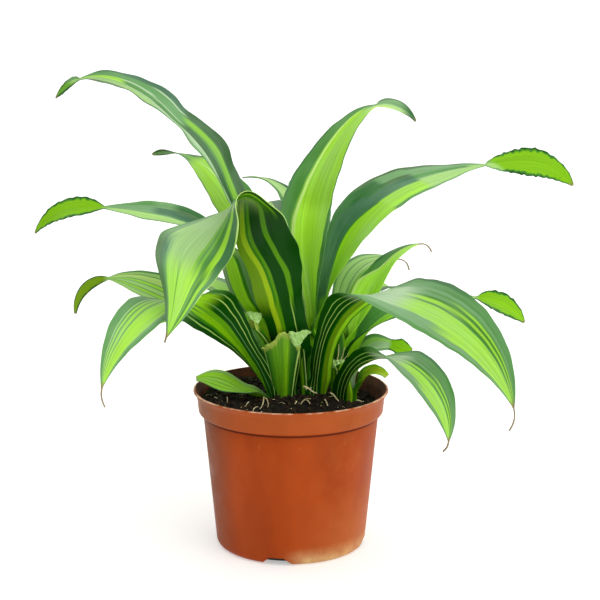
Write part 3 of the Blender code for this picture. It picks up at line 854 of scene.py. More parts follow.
@dataclass(frozen=True)
class Blade:
    """One leaf, drawn along its midrib. Lengths are in millimetres and angles in degrees.

    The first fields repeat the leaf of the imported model, so that the fine blade lies in it.
    ripple is how far the margins wave, wave how long a wave is, clasp half the width of the foot
    that wraps the stem, base half the width where the blade leaves it, and opening how long that
    lasts. Past the share frayed of its length the margin is serrated. Blades with the same dress
    share their materials.
    """

    node: str
    shoot: str
    height: float
    length: float
    width: float
    foot: float
    belly: float
    heading: tuple[float, ...]
    lift: tuple[float, ...]
    roll: tuple[float, ...]
    trough: tuple[float, ...]
    stripes: Variegation
    neck: float = 1.0
    lobe: float = 0.0
    thread: tuple[float, float] | tuple[()] = ()
    ripple: float = 0.35
    wave: float = 38.0
    clasp: float = 7.5
    base: float = 8.5
    opening: float = 75.0
    frayed: float = 2.0
    crumple: Crumple | None = None
    dress: str = ""
    columns: int = 24

    def spread(self, s: np.ndarray) -> np.ndarray:
        """The width of the blade.

        Args:
            s: where, as shares of its length.

        Returns:
            The width at each place, in millimetres.
        """
        u = np.clip(s / self.neck, 0.0, 1.0)
        rise = self.foot + (self.width - self.foot) * smooth(u / self.belly)
        k = np.clip((u - self.belly) / (1.0 - self.belly), 0.0, 1.0)
        fall = TIP_WIDTH + (self.width - TIP_WIDTH) * np.cos(math.pi / 2 * k**1.15)
        width = np.where(u < self.belly, rise, fall)
        if self.lobe:
            v = np.clip((s - self.neck) / (1.0 - self.neck), 0.0, 1.0)
            lobe = TIP_WIDTH + (self.lobe - TIP_WIDTH) * np.sin(math.pi * v**0.8) ** 0.9
            width = np.where(s > self.neck, lobe, width)
        return width

    def midrib(self, layer: int) -> tuple[np.ndarray, ...]:
        """The line that the blade follows, from its foot in the mix to its tip.

        Args:
            layer: how many leaves of the shoot are attached above this one.

        Returns:
            The distance from the foot, the points, and the heading, roll and trough there.
        """
        shoot = SHOOTS[self.shoot]
        fine = np.linspace(0.0, 1.0, PATH_STEPS + 1)
        heading, lift, roll, trough = (
            np.radians(along(angles, fine)) for angles in (self.heading, self.lift, self.roll, self.trough)
        )
        arc = fine * self.length
        settling = smooth(arc / SETTLING)
        pose = np.stack([heading, roll * settling, trough * (0.2 + 0.8 * settling)], -1)
        run = run_of(heading, lift)
        step = (run[1:] + run[:-1]) / 2 * self.length / PATH_STEPS
        path = np.concatenate([np.zeros((1, 3)), np.cumsum(step, 0)])
        out = float(shoot.girth(self.height)) + BLADE_OFFSET
        way = np.array([math.cos(heading[0]), math.sin(heading[0]), 0.0])
        path += np.array([shoot.x, shoot.y, self.height]) + out * way
        if self.thread:
            length, end = self.thread
            t = np.linspace(0.0, 1.0, THREAD_STEPS + 1)[1:]
            angles = lift[-1] + (math.radians(end) - lift[-1]) * smooth(t)
            stride = run_of(heading[-1] + 0 * t, angles) * length / THREAD_STEPS
            path = np.concatenate([path, path[-1] + np.cumsum(stride, 0)])
            arc = np.append(arc, self.length + t * length)
            pose = np.concatenate([pose, np.tile(pose[-1] * (1, 1, 0), (THREAD_STEPS, 1))])
        # Lower leaves clasp the stem outside the upper ones
        shift = LAYER * layer
        path += (shift * (1.0 - smooth(arc / 35.0)))[:, None] * way
        z = np.arange(SHEATH_FOOT, self.height - 0.6, 0.9)
        girth = shoot.girth(z) + BLADE_OFFSET + shift
        sleeve = np.stack([shoot.x + girth * way[0], shoot.y + girth * way[1], z], -1)
        path = np.concatenate([sleeve, path])
        arc = np.append(z - self.height, arc)
        pose = np.concatenate([np.tile(pose[0] * (1, 0, 1), (len(z), 1)), pose])
        # The corner where the leaf leaves its stem is eased over a few millimetres
        kernel = np.exp(-0.5 * (np.arange(-EASING, EASING + 1) / 5.0) ** 2)
        kernel /= kernel.sum()
        padded = np.pad(path, ((EASING, EASING), (0, 0)), mode="reflect", reflect_type="odd")
        eased = np.stack([np.convolve(column, kernel, "valid") for column in padded.T], -1)
        near = np.exp(-((arc / 9.0) ** 2))[:, None]
        return arc, path * (1 - near) + eased * near, pose

    def surface(self, layer: int, seed: int) -> tuple:
        """The middle surface of the blade.

        Args:
            layer: how many leaves of the shoot are attached above this one.
            seed: picks the waves of its margins.

        Returns:
            The grid of points, the upward vector of each row, the thickness and the chart.
        """
        rng = np.random.default_rng(seed)
        arc, path, pose = self.midrib(layer)
        rows = np.append(np.arange(arc[0], arc[-1], ROW_PITCH), arc[-1])
        mid = np.stack([np.interp(rows, arc, column) for column in path.T], -1)
        heading, roll, trough = (np.interp(rows, arc, column) for column in pose.T)
        forward = unit(np.gradient(mid, axis=0))
        level = np.stack([-np.sin(heading), np.cos(heading), 0 * heading], -1)
        level = unit(level - np.sum(level * forward, -1, keepdims=True) * forward)
        upper = np.cross(forward, level)
        side = level * np.cos(roll)[:, None] + upper * np.sin(roll)[:, None]
        face = upper * np.cos(roll)[:, None] - level * np.sin(roll)[:, None]
        half = self.spread(rows / self.length) / 2
        half = np.where(rows > self.length, THREAD_HALF, half)
        # The foot wraps the stem, and opens into the blade over the first centimetres
        base = min(self.base, 0.4 * self.width)
        flare = self.clasp + (base - self.clasp) * smooth((rows + 8.0) / 24.0)
        flare = flare * (1.0 + 0.5 * smooth(-rows / 14.0)) * (1.0 - smooth((rows - 10.0) / self.opening))
        half = np.where(rows < 0, flare, (np.maximum(half, 0.0) ** 3 + flare**3) ** (1 / 3))
        girth = float(SHOOTS[self.shoot].girth(self.height)) + BLADE_OFFSET + LAYER * layer
        bend = np.exp(-((np.maximum(rows, 0.0) / 17.0) ** 2)) / girth + 1e-5
        c = np.linspace(1.0, -1.0, self.columns + 1)[None, :]
        phase = rng.uniform(0, 2 * math.pi, 6)
        free = smooth(rows / 45.0) * smooth((self.length - rows) / 12.0)
        beat = 2 * math.pi * rows / self.wave
        nick = 1.0 + 0.010 * free * (np.sin(1.3 * beat + phase[0]) + np.sin(2.7 * beat + phase[1]))
        worn = smooth((rows / self.length - self.frayed) / 0.03)
        long_teeth, short_teeth = (2 * math.pi * rows / pitch for pitch in TEETH)
        teeth = np.sin(long_teeth + phase[0]) + 0.7 * np.sin(short_teeth + phase[1])
        half = half * (nick + 0.045 * worn * teeth)
        turn = (half * bend)[:, None] * c
        across = np.sin(turn) / bend[:, None] * np.cos(trough)[:, None]
        depth = (1 - np.cos(turn)) / bend[:, None]
        depth += (half * np.sin(trough))[:, None] * np.abs(c) ** 1.3
        waves = np.where(
            c > 0,
            (np.sin(beat + phase[2]) + 0.5 * np.sin(1.9 * beat + phase[3]))[:, None],
            (np.sin(0.93 * beat + phase[4]) + 0.5 * np.sin(1.7 * beat + phase[5]))[:, None],
        )
        slim = np.minimum(half / 8.0, 1.0)
        depth += self.ripple * (free * slim)[:, None] * waves * np.abs(c) ** 2.6
        # Pleats along the blade and the groove of the midrib
        pleats = max(2.0, round(self.width / PLEAT_PITCH))
        depth += PLEAT_DEPTH * (free * slim)[:, None] * np.cos(2 * math.pi * pleats * c) * (1 - c**4)
        out = c * half[:, None]
        depth -= GROOVE[0] * slim[:, None] * np.exp(-((out / GROOVE[1]) ** 2))
        grid = mid[:, None] + across[..., None] * side[:, None] + depth[..., None] * face[:, None]
        if self.crumple:
            grid += self.crumple.offset(rows / self.length, c)
        thick = THICKNESS + RIB[0] * np.exp(-((out / RIB[1]) ** 2))
        return grid, face, thick, ((1 - c) / 2, rows[:, None] / self.length)

    def build(self, layer: int, seed: int) -> bpy.types.Object:
        """Makes the blade and dresses it.

        Args:
            layer: how many leaves of the shoot are attached above this one.
            seed: picks the waves of its margins.

        Returns:
            The finished piece.
        """
        grid, face, thick, chart = self.surface(layer, seed)
        finish = BladeFinish(self.stripes)
        plain = self.dress or self.node.removeprefix("leaf_").replace("_", " ")
        finishes = [finish.material(plain, side, self.width, self.length) for side in Face]
        name = self.node.replace("leaf_", "blade_")
        piece = closed_sheet(name, grid, face, thick, chart, [*finishes, finishes[0]])
        return settle(piece, "leaf", self.node)


LOBE = "5K 6G 76V 7G 6K"
ARCH_NEAR = "4G 13L 18O 4G 13K 2C 11K 2C 12K 2T 19K"
# Where an arch turns over, the wide frost and sage bands are a painted sheen
ARCH_TURN = "5D 8M 9S 56P 14S 8M"
ARCH_OPENING = "6D 12M 5S 5M 5S 5G 6L 4M 27L 18S 7M"
ARCH_FAR = "17M 4S 5M 4L 5G 5L 5G 2M 40L 8S 5M"
FAR_SIDE = "17D 2C 10G 4F 28L 5G 8F 2C 24D"

BLADES = (
    Blade(
        "leaf_upper_left_arch", "a", 146, 299, 35, 7.5, 0.55, heading=(169, 163, 158, 136),
        lift=(77, 69, 53, 19, -42), roll=(7, -4, -13, -57), trough=(38, 21, 5), neck=0.9, lobe=13.5,
        ripple=0.9, wave=44.0, frayed=0.9, base=11.0,
        crumple=Crumple(0.36, 0.64, first=(0, 0), last=(0, 1, 3.5, 4.5, 2, -1.5, 0), lift=(0, 0)),
        stripes=Variegation({
            0.0: "2M 10S 26P 22K 5G 13V 3G 19K",
            0.54: "3M 12S 22P 5K 14G 3P 22M 4P 15B",
            0.64: "5N 30H 5P 18G 6P 20M 16B",
            0.73: "12N 32H 20L 28M 8B",
            0.86: "20S 50T 30S",
            0.9: "13K 12G 50F 12G 13K",
        }, 0.015, 0.9, 0.06),
    ),
    Blade(
        "leaf_left_back", "a", 137, 213, 31.5, 6.0, 0.56, heading=(131, 131, 134, 149),
        lift=(78, 70, 47, 26, -15), roll=(2, -13, -28, -29, -26, -10, 70), trough=(39, 10, 6), neck=0.89,
        lobe=7.0,
        stripes=Variegation({0.0: "2G 50A 5C 28L 15G", 0.8: "30G 40F 30K", 0.89: "30N 40S 30N"}),
    ),
    Blade(
        "leaf_left_level", "a", 139, 239, 32.5, 9.0, 0.55, heading=(196, 194, 184, 167, 160),
        lift=(63, 52, 73, 22, 6, -8, -56), roll=(34, 27, -17, -34, -50), trough=(31, 15, 4), neck=0.75,
        lobe=20, base=12.0, opening=110.0, frayed=0.75,
        crumple=Crumple(0.14, 0.46, first=(0, 2, 4.5, 6.5, 6.5, 2.5, 0), last=(0, 0), lift=(0, 0)),
        stripes=Variegation({
            0.0: "15S 8G 32L 12G 8T 25G",
            0.36: "3S 40T 6M 24B 12N 15D",
            0.54: "4M 42T 6S 24B 24S",
            0.6: "4M 42T 6S 30S 18M",
            0.745: LOBE,
        }, 0.02, 0.745),
    ),
    Blade(
        "leaf_folded_front", "a", 115.5, 279, 62, 10.0, 0.6,
        heading=(290, 256, 244, 228, 208, 205, 235, 249, 242),
        lift=(90, 69, 61, 77, 73, -48, -31, -57, -56), roll=(-6, 2, 30, 26, 4, 22, -16, -51, -84),
        trough=(30, 2, 14), ripple=0.7, wave=52.0, base=16.0, opening=150.0, thread=(4, -60),
        crumple=Crumple(
            0.25, 0.75, first=(0, 0, -0.5, -2.5, -2.5, -1.5, -5.5, 1, 5, 0.5, 0),
            last=(0, 2, 3.5, 0.5, -3.5, -4.5, 2, 2.5, 0.5, 0, 0),
            lift=(0, 0, 0, 0, 0, 0, -5.5, -2, -2, 0, 0),
        ),
        stripes=Variegation({
            0.0: "45K 2C 23K 10F 15Y 5K",
            0.24: "0.6T 38K 9F 24K 6F 5G 10Y 6O",
            0.52: "1.2C 12D 8A 8G 4F 3M 4F 48H 8S 4M",
            0.76: "1.2C 12D 8A 8G 4F 3M 4F 38H 5S 8B 9N",
            0.82: "1.2C 8M 6A 6G 3F 3M 30L 3F 20L 6M 14N",
        }, 0.04, lean=(0.2, 0.26, 0.48)),
    ),
    Blade(
        "leaf_centre_upright", "b", 146, 233.5, 39, 5.0, 0.46, heading=(72, 55, 35, 26),
        lift=(103, 102, 62, 38, -52), roll=(-26, 14, 17, 56), trough=(47, 13, 11), neck=0.84, lobe=12,
        base=10.0,
        stripes=Variegation({
            0.0: "4D 22G 3F 5C 64W 2G",
            0.44: "4D 22G 3F 5C 64A 2G",
            0.8: "15N 30S 35T 20C",
            0.89: "10N 50S 40T",
            0.945: "20K 60D 20K",
        }, 0.03, lean=(0.09, 0.3, 0.5)),
    ),
    Blade(
        "leaf_upper_right", "b", 141, 281, 36, 5.0, 0.53, heading=(7, 23, 23, 10, 11),
        lift=(89, 76, 54, 19, 8, -1, -50), roll=(-16, 29, 31, 30, 81), trough=(48, 1, 4), neck=0.74,
        lobe=25, ripple=0.6, wave=48.0, base=12.0, opening=90.0, frayed=0.74,
        # The sage bands from 0.455 on are a painted sheen on the darker half
        stripes=Variegation({
            0.0: "28K 14G 20F 8G 14V 16F",
            0.12: "28D 32B 3G 37A",
            0.4: "8N 28D 20B 4M 34L 6M",
            0.455: "6N 20S 10N 20B 4M 34L 6M",
            0.53: "10N 24S 14M 4S 42T 6S",
            0.68: "30S 60T 10S",
            0.745: LOBE,
        }, 0.012, 0.745, 0.04, (0.2, 0.29, 0.44)),
    ),
    Blade(
        "leaf_right_arch", "b", 108, 271, 39.5, 12.0, 0.65, heading=(-74, -64, -43, -34),
        lift=(80, 46, 11, -24, -74), roll=(-36, -25, 38, 64), trough=(32, 7, 6), thread=(17, -120),
        stripes=Variegation({0.0: ARCH_NEAR, 0.43: ARCH_TURN, 0.61: ARCH_OPENING, 0.74: ARCH_FAR}, 0.05),
    ),
    Blade(
        "leaf_right_upright", "c", 140, 97, 26, 5.5, 0.51, heading=(-3, 16, 22, 26),
        lift=(78, 72, 58, 44, 5), roll=(21, 32, 7, 2), trough=(45, 22, 6), thread=(14, -60),
        stripes=Variegation({0.0: "12D 22G 7C 59W"}, lean=(0.35, 0.45, 0.75)),
    ),
    Blade(
        "leaf_right_low", "c", 125, 155, 29.5, 7.0, 0.29, heading=(-2, -1, -6, -13),
        lift=(88, 43, 13, -5, -49), roll=(-5, 28, 21, 27), trough=(48, 15, 7), neck=0.75, lobe=25,
        frayed=0.75,
        stripes=Variegation({0.0: "44M 46L 10D", 0.5: "20S 60T 20S", 0.75: LOBE}, 0.015, 0.75),
    ),
    Blade(
        "leaf_right_back", "c", 138, 102, 26, 7.5, 0.61, heading=(95, 61, 43, 27),
        lift=(84, 74, 47, 13, -11), roll=(-6, -7, 12, 7), trough=(41, 22, 4), thread=(14, -75),
        stripes=Variegation({0.0: "8M 14T 3M 20T 3M 16T 3M 20L 13G"}),
    ),
    Blade(
        "leaf_front_right", "c", 106, 162, 31, 7.0, 0.59, heading=(-85, -58, -46, -35),
        lift=(59, 35, 6, -39, -92), roll=(23, -25, 11, 44), trough=(48, 22, 5), thread=(10, -135),
        stripes=Variegation({0.0: ARCH_NEAR, 0.44: ARCH_TURN, 0.59: ARCH_OPENING, 0.74: ARCH_FAR}, 0.05),
    ),
    Blade(
        "leaf_right_short", "c", 120, 58, 21, 8.0, 0.56, heading=(-15, -15, -14, -12),
        lift=(66, 68, 24, -7, -22), roll=(-7, 9, 35, 40), trough=(40, 21, 5), neck=0.74, lobe=13.5,
        frayed=0.74,
        stripes=Variegation({0.0: "12S 20T 48P 20S", 0.72: LOBE}, 0.03, 0.72),
    ),
    Blade(
        "leaf_rim_right", "c", 110, 33, 13, 8.5, 0.5, heading=(-13, -17, -19, -20),
        lift=(55, 59, 37, 0, -46), roll=(29, 23, 18, 6), trough=(35, 19, 6), clasp=5.0, frayed=0.5,
        stripes=Variegation({0.0: "30G 40F 30G", 0.36: "15V 70Y 15V"}, 0.15, 0.5),
    ),
    Blade(
        "leaf_front_left", "a", 107, 221, 40.5, 4.0, 0.48, heading=(211, 226, 232, 226),
        lift=(59, 51, 23, -24, -75), roll=(19, 56, -7, -67), trough=(47, 5, 6), thread=(15, -118),
        base=11.0,
        stripes=Variegation({
            0.0: "10K 2T 10K 2C 12K 2S 8K 12F 14V 6G 6K 3T 13K",
            0.46: "9M 5S 38L 4M 7L 4M 5L 4M 3T 21M",
        }, 0.05),
    ),
    Blade(
        "leaf_left_middle", "a", 115, 191, 29, 8.0, 0.64, heading=(190, 180, 168, 157),
        lift=(64, 40, 28, 0, -86), roll=(-4, -18, -28, -37, -43, -64, -88), trough=(40, 15, 7), neck=0.78,
        lobe=8.5,
        stripes=Variegation({
            0.0: "5H 13T 3S 10L 2M 16T 3S 10L 3S 16C 2M 10T 7M",
            0.79: "12K 76O 12N",
        }, 0.015, 0.79),
    ),
    Blade(
        "leaf_rim_left", "a", 105.6, 59, 19, 6.5, 0.62, heading=(196, 190, 183, 178),
        lift=(20, 15, 27, 17, -10), roll=(1, -8, -33, -37), trough=(37, 13, 7), clasp=4.0,
        stripes=Variegation({0.0: "4M 16A 3G 16A 3G 16A 3G 26A 8H 5T"}),
    ),
    Blade(
        "leaf_back_curled", "b", 137, 174, 21.5, 7.0, 0.44, heading=(112, 108, 120, 140),
        lift=(78, 81, 63, 23, -11), roll=(-8, -22, -9, 1), trough=(40, 29, 6), neck=0.91, lobe=4,
        stripes=Variegation({0.0: "20G 60T 20D"}),
    ),
)

# The far side of the plant is not in the photograph, and its leaves share two dresses
FAR_PLAIN = (FAR_SIDE, "far side")
FAR_BANDED = (ARCH_FAR, "far side banded")
FAR_ROWS = (
    ("a", 124, 215, 32, (100, 100), (78, 63, 36, -2, -43), (0, 0), FAR_PLAIN),
    ("a", 113, 180, 28, (132, 132), (63, 45, 17, -21, -59), (0, 0), FAR_BANDED),
    ("b", 124, 225, 33, (92, 92), (81, 67, 42, 6, -36), (0, 0), FAR_BANDED),
    ("b", 112.5, 151, 28, (51, 51), (68, 55, 26, -18, -61), (0, 4, 10, 10), FAR_PLAIN),
    ("c", 112, 155, 26, (82, 82), (69, 52, 25, -13, -53), (0, 0), FAR_BANDED),
    ("a", 108, 146, 24, (157, 154), (55, 41, 16, -18, -56), (0, 0), FAR_PLAIN),
    ("b", 110, 150, 26, (118, 118), (59, 39, 10, -26, -64), (0, 0), FAR_PLAIN),
)
FAR_BLADES = tuple(
    Blade(
        f"leaf_far_{number}", shoot, height, length, width, 8.0, 0.55, heading, lift, roll,
        trough=(40, 18, 6), stripes=Variegation({0.0: bands}), dress=dress,
    )
    for number, (shoot, height, length, width, heading, lift, roll, (bands, dress)) in enumerate(FAR_ROWS, 1)
)


# The rolled lip of a torn sheath: its rows, the slope it starts at and how far it turns
LIP_STEPS = 8
LIP_START = 78.0
LIP_TURN = 170.0


@dataclass(frozen=True)
class TornSheath:
    """The foot of a leaf that was torn off, in millimetres and degrees.

    It spans half_angle to each side of heading, from bottom to top. Its radius grows by flare,
    late where bend is high, and ragged is the height of the teeth along its torn top. rise lifts
    the top, droop lowers its left end, and curl is the length of its rolled lip.
    """

    node: str
    shoot: str
    heading: float
    half_angle: tuple[float, float]
    bottom: float
    top: float
    radius: float
    flare: float
    bend: float
    ragged: float
    rise: float = 0.0
    curl: float = 3.0
    droop: float = 0.0
    finish: SheathFinish = field(default_factory=SheathFinish)
    ribs: int = 7
    rib_depth: float = 0.10
    keel: float = 0.5
    thickness: float = 0.95
    columns: int = 44
    rows: int = 30

    def build(self, seed: int, edge: bpy.types.Material) -> bpy.types.Object:
        """Makes the sheath and dresses it.

        Args:
            seed: picks the tears of its top.
            edge: the material of its thin edge.

        Returns:
            The finished piece.
        """
        rng = np.random.default_rng(seed)
        shoot = SHOOTS[self.shoot]
        c = np.linspace(-1.0, 1.0, self.columns + 1)
        t = np.linspace(0.0, 1.0, self.rows + 1)[:, None]
        teeth = 0.5 * np.sin(4.3 * c + 0.6) - c * c + 0.10 * np.sin(11.0 * c + 2.0)
        tears = 0.07 * np.sin(23.0 * c + rng.uniform(0, 6)) + 0.05 * np.sin(47.0 * c + rng.uniform(0, 6))
        low, high = self.half_angle
        angle = np.radians(self.heading + (low + (high - low) * t) * c)
        ribs = self.rib_depth * np.cos(2 * math.pi * self.ribs * c) * (1 - t**3)
        keel = self.keel * np.exp(-((c / 0.12) ** 2)) * (1 - t)
        radius = self.radius + 0.4 + self.flare * t**self.bend + ribs + keel
        z = self.bottom - 5.0 * (1 - smooth(t / 0.12)) * (t < 0.12)
        hang = self.droop * np.clip(-c, 0.0, 1.0) ** 1.6
        z = z + (self.top + self.rise - hang + self.ragged * (teeth + tears) - self.bottom) * t
        # The torn lip rolls outwards in an arc
        curl = self.curl * (1.0 - 0.75 * smooth((c + 0.2) / 0.8)) * (1 + 0.15 * np.sin(9.0 * c))
        share = np.linspace(0.0, 1.0, LIP_STEPS + 1)[1:, None]
        bend = math.radians(LIP_START) - share * math.radians(LIP_TURN)
        out = np.cumsum(np.cos(bend), 0) / LIP_STEPS * curl
        up = np.cumsum(np.sin(bend), 0) / LIP_STEPS * curl
        angle = np.concatenate([angle, np.repeat(angle[-1:], LIP_STEPS, 0)])
        radius = np.concatenate([radius + 0 * c, radius[-1:] + out])
        z = np.concatenate([z, z[-1:] + up])
        t = np.concatenate([t, 1.0 + 0.01 * share])
        grid = np.stack([shoot.x + radius * np.cos(angle), shoot.y + radius * np.sin(angle), z], -1)
        middle = angle[:, self.columns // 2]
        inward = -np.stack([np.cos(middle), np.sin(middle), 0 * middle], -1)
        thick = self.thickness - 0.5 * np.minimum(t, 1.0) + 0 * c[None, :]
        width = 2 * math.radians(high) * (self.radius + self.flare)
        plain = self.node.removeprefix("torn_sheath_")
        finishes = [self.finish.material(plain, side, width) for side in Face]
        name = self.node.replace("torn_", "ragged_")
        piece = closed_sheet(name, grid, inward, thick, ((c + 1) / 2, t), [*finishes, edge])
        return settle(piece, "torn", self.node)


@dataclass(frozen=True)
class TornTongue:
    """A pale scrap of tissue that hangs from a torn sheath, in millimetres.

    outline gives, at each place from left to right, the heights of its lower and its upper edge.
    It faces the front at the distance y, and bulges forward.
    """

    name: str
    y: float
    outline: tuple[tuple[float, float, float], ...]
    bulge: float = 2.0
    columns: int = 30
    rows: int = 12

    def build(self, seed: int, finish: bpy.types.Material) -> bpy.types.Object:
        """Makes the scrap with a crumpled face and a ragged edge.

        Args:
            seed: picks its creases.
            finish: the material of torn tissue.

        Returns:
            The finished piece.
        """
        rng = np.random.default_rng(seed)
        stations = np.array(self.outline)
        x = np.linspace(stations[0, 0], stations[-1, 0], self.columns + 1)
        low = np.interp(x, stations[:, 0], stations[:, 1]) + rng.uniform(-0.4, 0.4, len(x))
        high = np.interp(x, stations[:, 0], stations[:, 2]) + rng.uniform(-0.3, 0.3, len(x))
        high = np.maximum(high, low + 0.4)
        t = np.linspace(0.0, 1.0, self.rows + 1)[:, None]
        z = low + (high - low) * t
        phase = rng.uniform(0, 6, 3)
        crease = 0.35 * np.sin(1.9 * x + 0.7 * z + phase[0]) + 0.25 * np.sin(2.6 * z - 1.3 * x + phase[1])
        share = (x - x[0]) / (x[-1] - x[0])
        y = self.y - self.bulge * np.sin(math.pi * share) * (1.0 - 0.5 * t) + crease
        grid = np.stack([np.broadcast_to(x, z.shape), y, z], -1)
        facing = np.repeat([[0.0, -1.0, 0.0]], self.rows + 1, 0)
        piece = closed_sheet(self.name, grid, facing, 0.5 + 0 * z, (share, t), [finish] * 3)
        return settle(piece, "torn")


TONGUES = (
    TornTongue(
        "torn_tongue_front", -17.0,
        ((-1.3, 158.5, 160.0), (0.8, 152.5, 160.3), (2.9, 149.6, 159.6), (6.4, 150.4, 160.2),
         (8.5, 154.2, 161.4), (11.3, 157.6, 161.6), (14.2, 159.2, 160.0)),
    ),
    TornTongue(
        "torn_tongue_left", -9.5,
        ((-31.5, 170.8, 172.2), (-28.7, 168.0, 173.0), (-25.2, 165.9, 172.2), (-23.1, 164.2, 172.2),
         (-21.0, 167.4, 171.6), (-20.2, 169.6, 171.0)),
    ),
    TornTongue(
        "torn_tongue_right", -1.5,
        ((28.0, 133.5, 137.8), (30.5, 129.6, 136.0), (33.0, 132.4, 135.8), (36.0, 133.6, 136.2),
         (38.5, 134.6, 135.8)),
    ),
)

SHEATHS = (
    TornSheath("torn_sheath_front", "a", 261, (35, 43), 105.4, 151.0, 10.2, 9.0, 1.3, 6.0, 5.0, 3.2, 6.0),
    TornSheath("torn_sheath_left", "a", 212, (16, 14), 120.0, 166.0, 7.3, 20.0, 2.2, 4.0),
    TornSheath("torn_sheath_middle", "b", 222, (20, 19), 105.4, 148.0, 8.7, 4.5, 1.5, 3.0),
    TornSheath("torn_sheath_right", "c", 232, (18, 20), 105.4, 133.0, 8.8, 3.0, 1.4, 3.0),
)


@dataclass(frozen=True)
class FurledStem:
    """The heart of a shoot: a short stem that ends in the point of a furled young leaf."""

    key: str
    point: float = 14.0
    bottom: float = 90.0
    segments: int = 48
    rings: int = 60
    seam_depth: float = 0.10
    seam_turn: float = 0.05
    around: float = 50.0

    def build(self) -> bpy.types.Object:
        """Makes the stem with the spiral seam of the furled leaf.

        Returns:
            The finished piece.
        """
        shoot = SHOOTS[self.key]
        shoulder = shoot.tip - self.point
        z = np.linspace(self.bottom, shoot.tip - 0.2, self.rings + 1)[:, None]
        share = np.clip((shoot.tip - z) / self.point, 0.0, 1.0)
        girth = np.where(z > shoulder, shoot.girth(shoulder) * share**0.75, shoot.girth(z))
        angle = np.linspace(0.0, 2 * math.pi, self.segments, endpoint=False)[None, :]
        seam = np.clip(np.cos(angle - self.seam_turn * (z - 100.0)) - 0.85, 0.0, 1.0) / 0.15
        radius = girth * (1.0 - self.seam_depth * seam)
        x, y = shoot.x + radius * np.cos(angle), shoot.y + radius * np.sin(angle)
        ends = [[shoot.x, shoot.y, self.bottom], [shoot.x, shoot.y, shoot.tip]]
        points = np.concatenate([np.stack([x, y, z + 0 * angle], -1).reshape(-1, 3), ends])
        count, last = self.segments, self.rings * self.segments
        foot, tip = len(points) - 2, len(points) - 1
        caps = [(foot, (j + 1) % count, j) for j in range(count)]
        caps += [(tip, last + j, last + (j + 1) % count) for j in range(count)]
        # The heart keeps the sheath's painted highlight band and its sides painted darker as shade
        finish = SheathFinish(body=Tone.GREEN, shaded_flank=Tone.DEEP)
        dress = finish.material(f"heart {self.key}", Face.UNDER, self.around)
        faces = ring_quads(self.rings, count).tolist() + caps
        piece = solid(f"furled_heart_{self.key}", points, faces, dress)
        layer = piece.data.uv_layers.new(name=BLADE_CHART)
        for loop, place in zip(piece.data.loops, layer.data):
            ring, step = divmod(min(loop.vertex_index, last + count - 1), count)
            place.uv = (abs(2 * step / count - 1), 0.6 * ring / self.rings)
        return settle(piece, "shoot", f"shoot_{self.key}_stem")


@dataclass(frozen=True)
class Strand:
    """A root end or a fibre that shows in the photograph, from start to end in mm, bowed by sag."""

    start: tuple[float, float, float]
    end: tuple[float, float, float]
    sag: float = 1.0
    girth: float = 0.4

    def tube(self, sides: int, steps: int) -> np.ndarray:
        """Rings of points round the strand, which tapers to half its girth.

        Args:
            sides: how many points a ring has.
            steps: how many gaps there are between the rings.

        Returns:
            The points, ring by ring, in millimetres.
        """
        t = np.linspace(0.0, 1.0, steps + 1)[:, None]
        spine = np.array(self.start) + (np.array(self.end) - np.array(self.start)) * t
        spine[:, 0] += self.sag * np.sin(math.pi * t[:, 0])
        spine[:, 2] += 0.5 * self.sag * np.sin(2.5 * math.pi * t[:, 0])
        forward = unit(np.gradient(spine, axis=0))
        level = unit(np.cross(forward, np.array([0.0, 0.0, 1.0])))
        upper = np.cross(level, forward)
        turn = (2 * math.pi * np.arange(sides) / sides)[None, :, None]
        girth = self.girth * (1.0 - 0.5 * t[:, None])
        ring = girth * (np.cos(turn) * level[:, None] + np.sin(turn) * upper[:, None])
        return (spine[:, None] + ring).reshape(-1, 3)


def bent_tubes(name: str, strands: tuple[Strand, ...], finish: bpy.types.Material) -> bpy.types.Object:
    """Makes strands as tapered bent tubes.

    Args:
        name: the name of the piece.
        strands: the strands.
        finish: their material.

    Returns:
        The piece.
    """
    sides, steps = 6, 10
    points = [strand.tube(sides, steps) for strand in strands]
    ring = list(range(sides))
    faces = []
    for first in range(0, len(strands) * len(points[0]), len(points[0])):
        faces += ring_quads(steps, sides, first).tolist()
        faces += [[first + side for side in ring[::-1]], [first + steps * sides + side for side in ring]]
    piece = solid(name, np.concatenate(points), faces, finish)
    shape = bmesh.new()
    shape.from_mesh(piece.data)
    bmesh.ops.recalc_face_normals(shape, faces=shape.faces)
    shape.to_mesh(piece.data)
    shape.free()
    return piece


FIBRES = (
    Strand((28.6, -2.2, 135.5), (27.4, -2.0, 146.5), 0.5, 0.35),
    Strand((30.4, -2.6, 134.0), (30.6, -2.4, 144.5), -0.4, 0.3),
    Strand((32.6, -3.0, 134.0), (34.2, -2.6, 147.0), 0.6, 0.35),
    Strand((35.0, -2.8, 134.5), (38.2, -2.4, 145.0), 0.4, 0.3),
    Strand((37.0, -2.2, 134.8), (41.0, -2.0, 141.0), 0.3, 0.25),
)


@dataclass
class Foliage:
    """The three shoots with their leaves and torn sheaths."""

    blades: tuple[Blade, ...] = BLADES + FAR_BLADES
    sheaths: tuple[TornSheath, ...] = SHEATHS
    tongues: tuple[TornTongue, ...] = TONGUES
    fibres: tuple[Strand, ...] = FIBRES

    def build(self) -> list[bpy.types.Object]:
        """Makes every leaf, sheath, tongue and stem.

        Returns:
            The finished pieces.
        """
        edge = SHEATH_EDGE.material()
        made = []
        for seed, blade in enumerate(self.blades):
            above = [b for b in self.blades if b.shoot == blade.shoot and b.height > blade.height]
            made.append(blade.build(len(above), 100 + seed))
        made += [sheath.build(300 + k, edge) for k, sheath in enumerate(self.sheaths)]
        made.append(settle(bent_tubes("torn_fibres", self.fibres, ROOT.material()), "torn"))
        tissue = TORN_TISSUE.material()
        made += [tongue.build(400 + k, tissue) for k, tongue in enumerate(self.tongues)]
        made += [FurledStem(key).build() for key in SHOOTS]
        return made


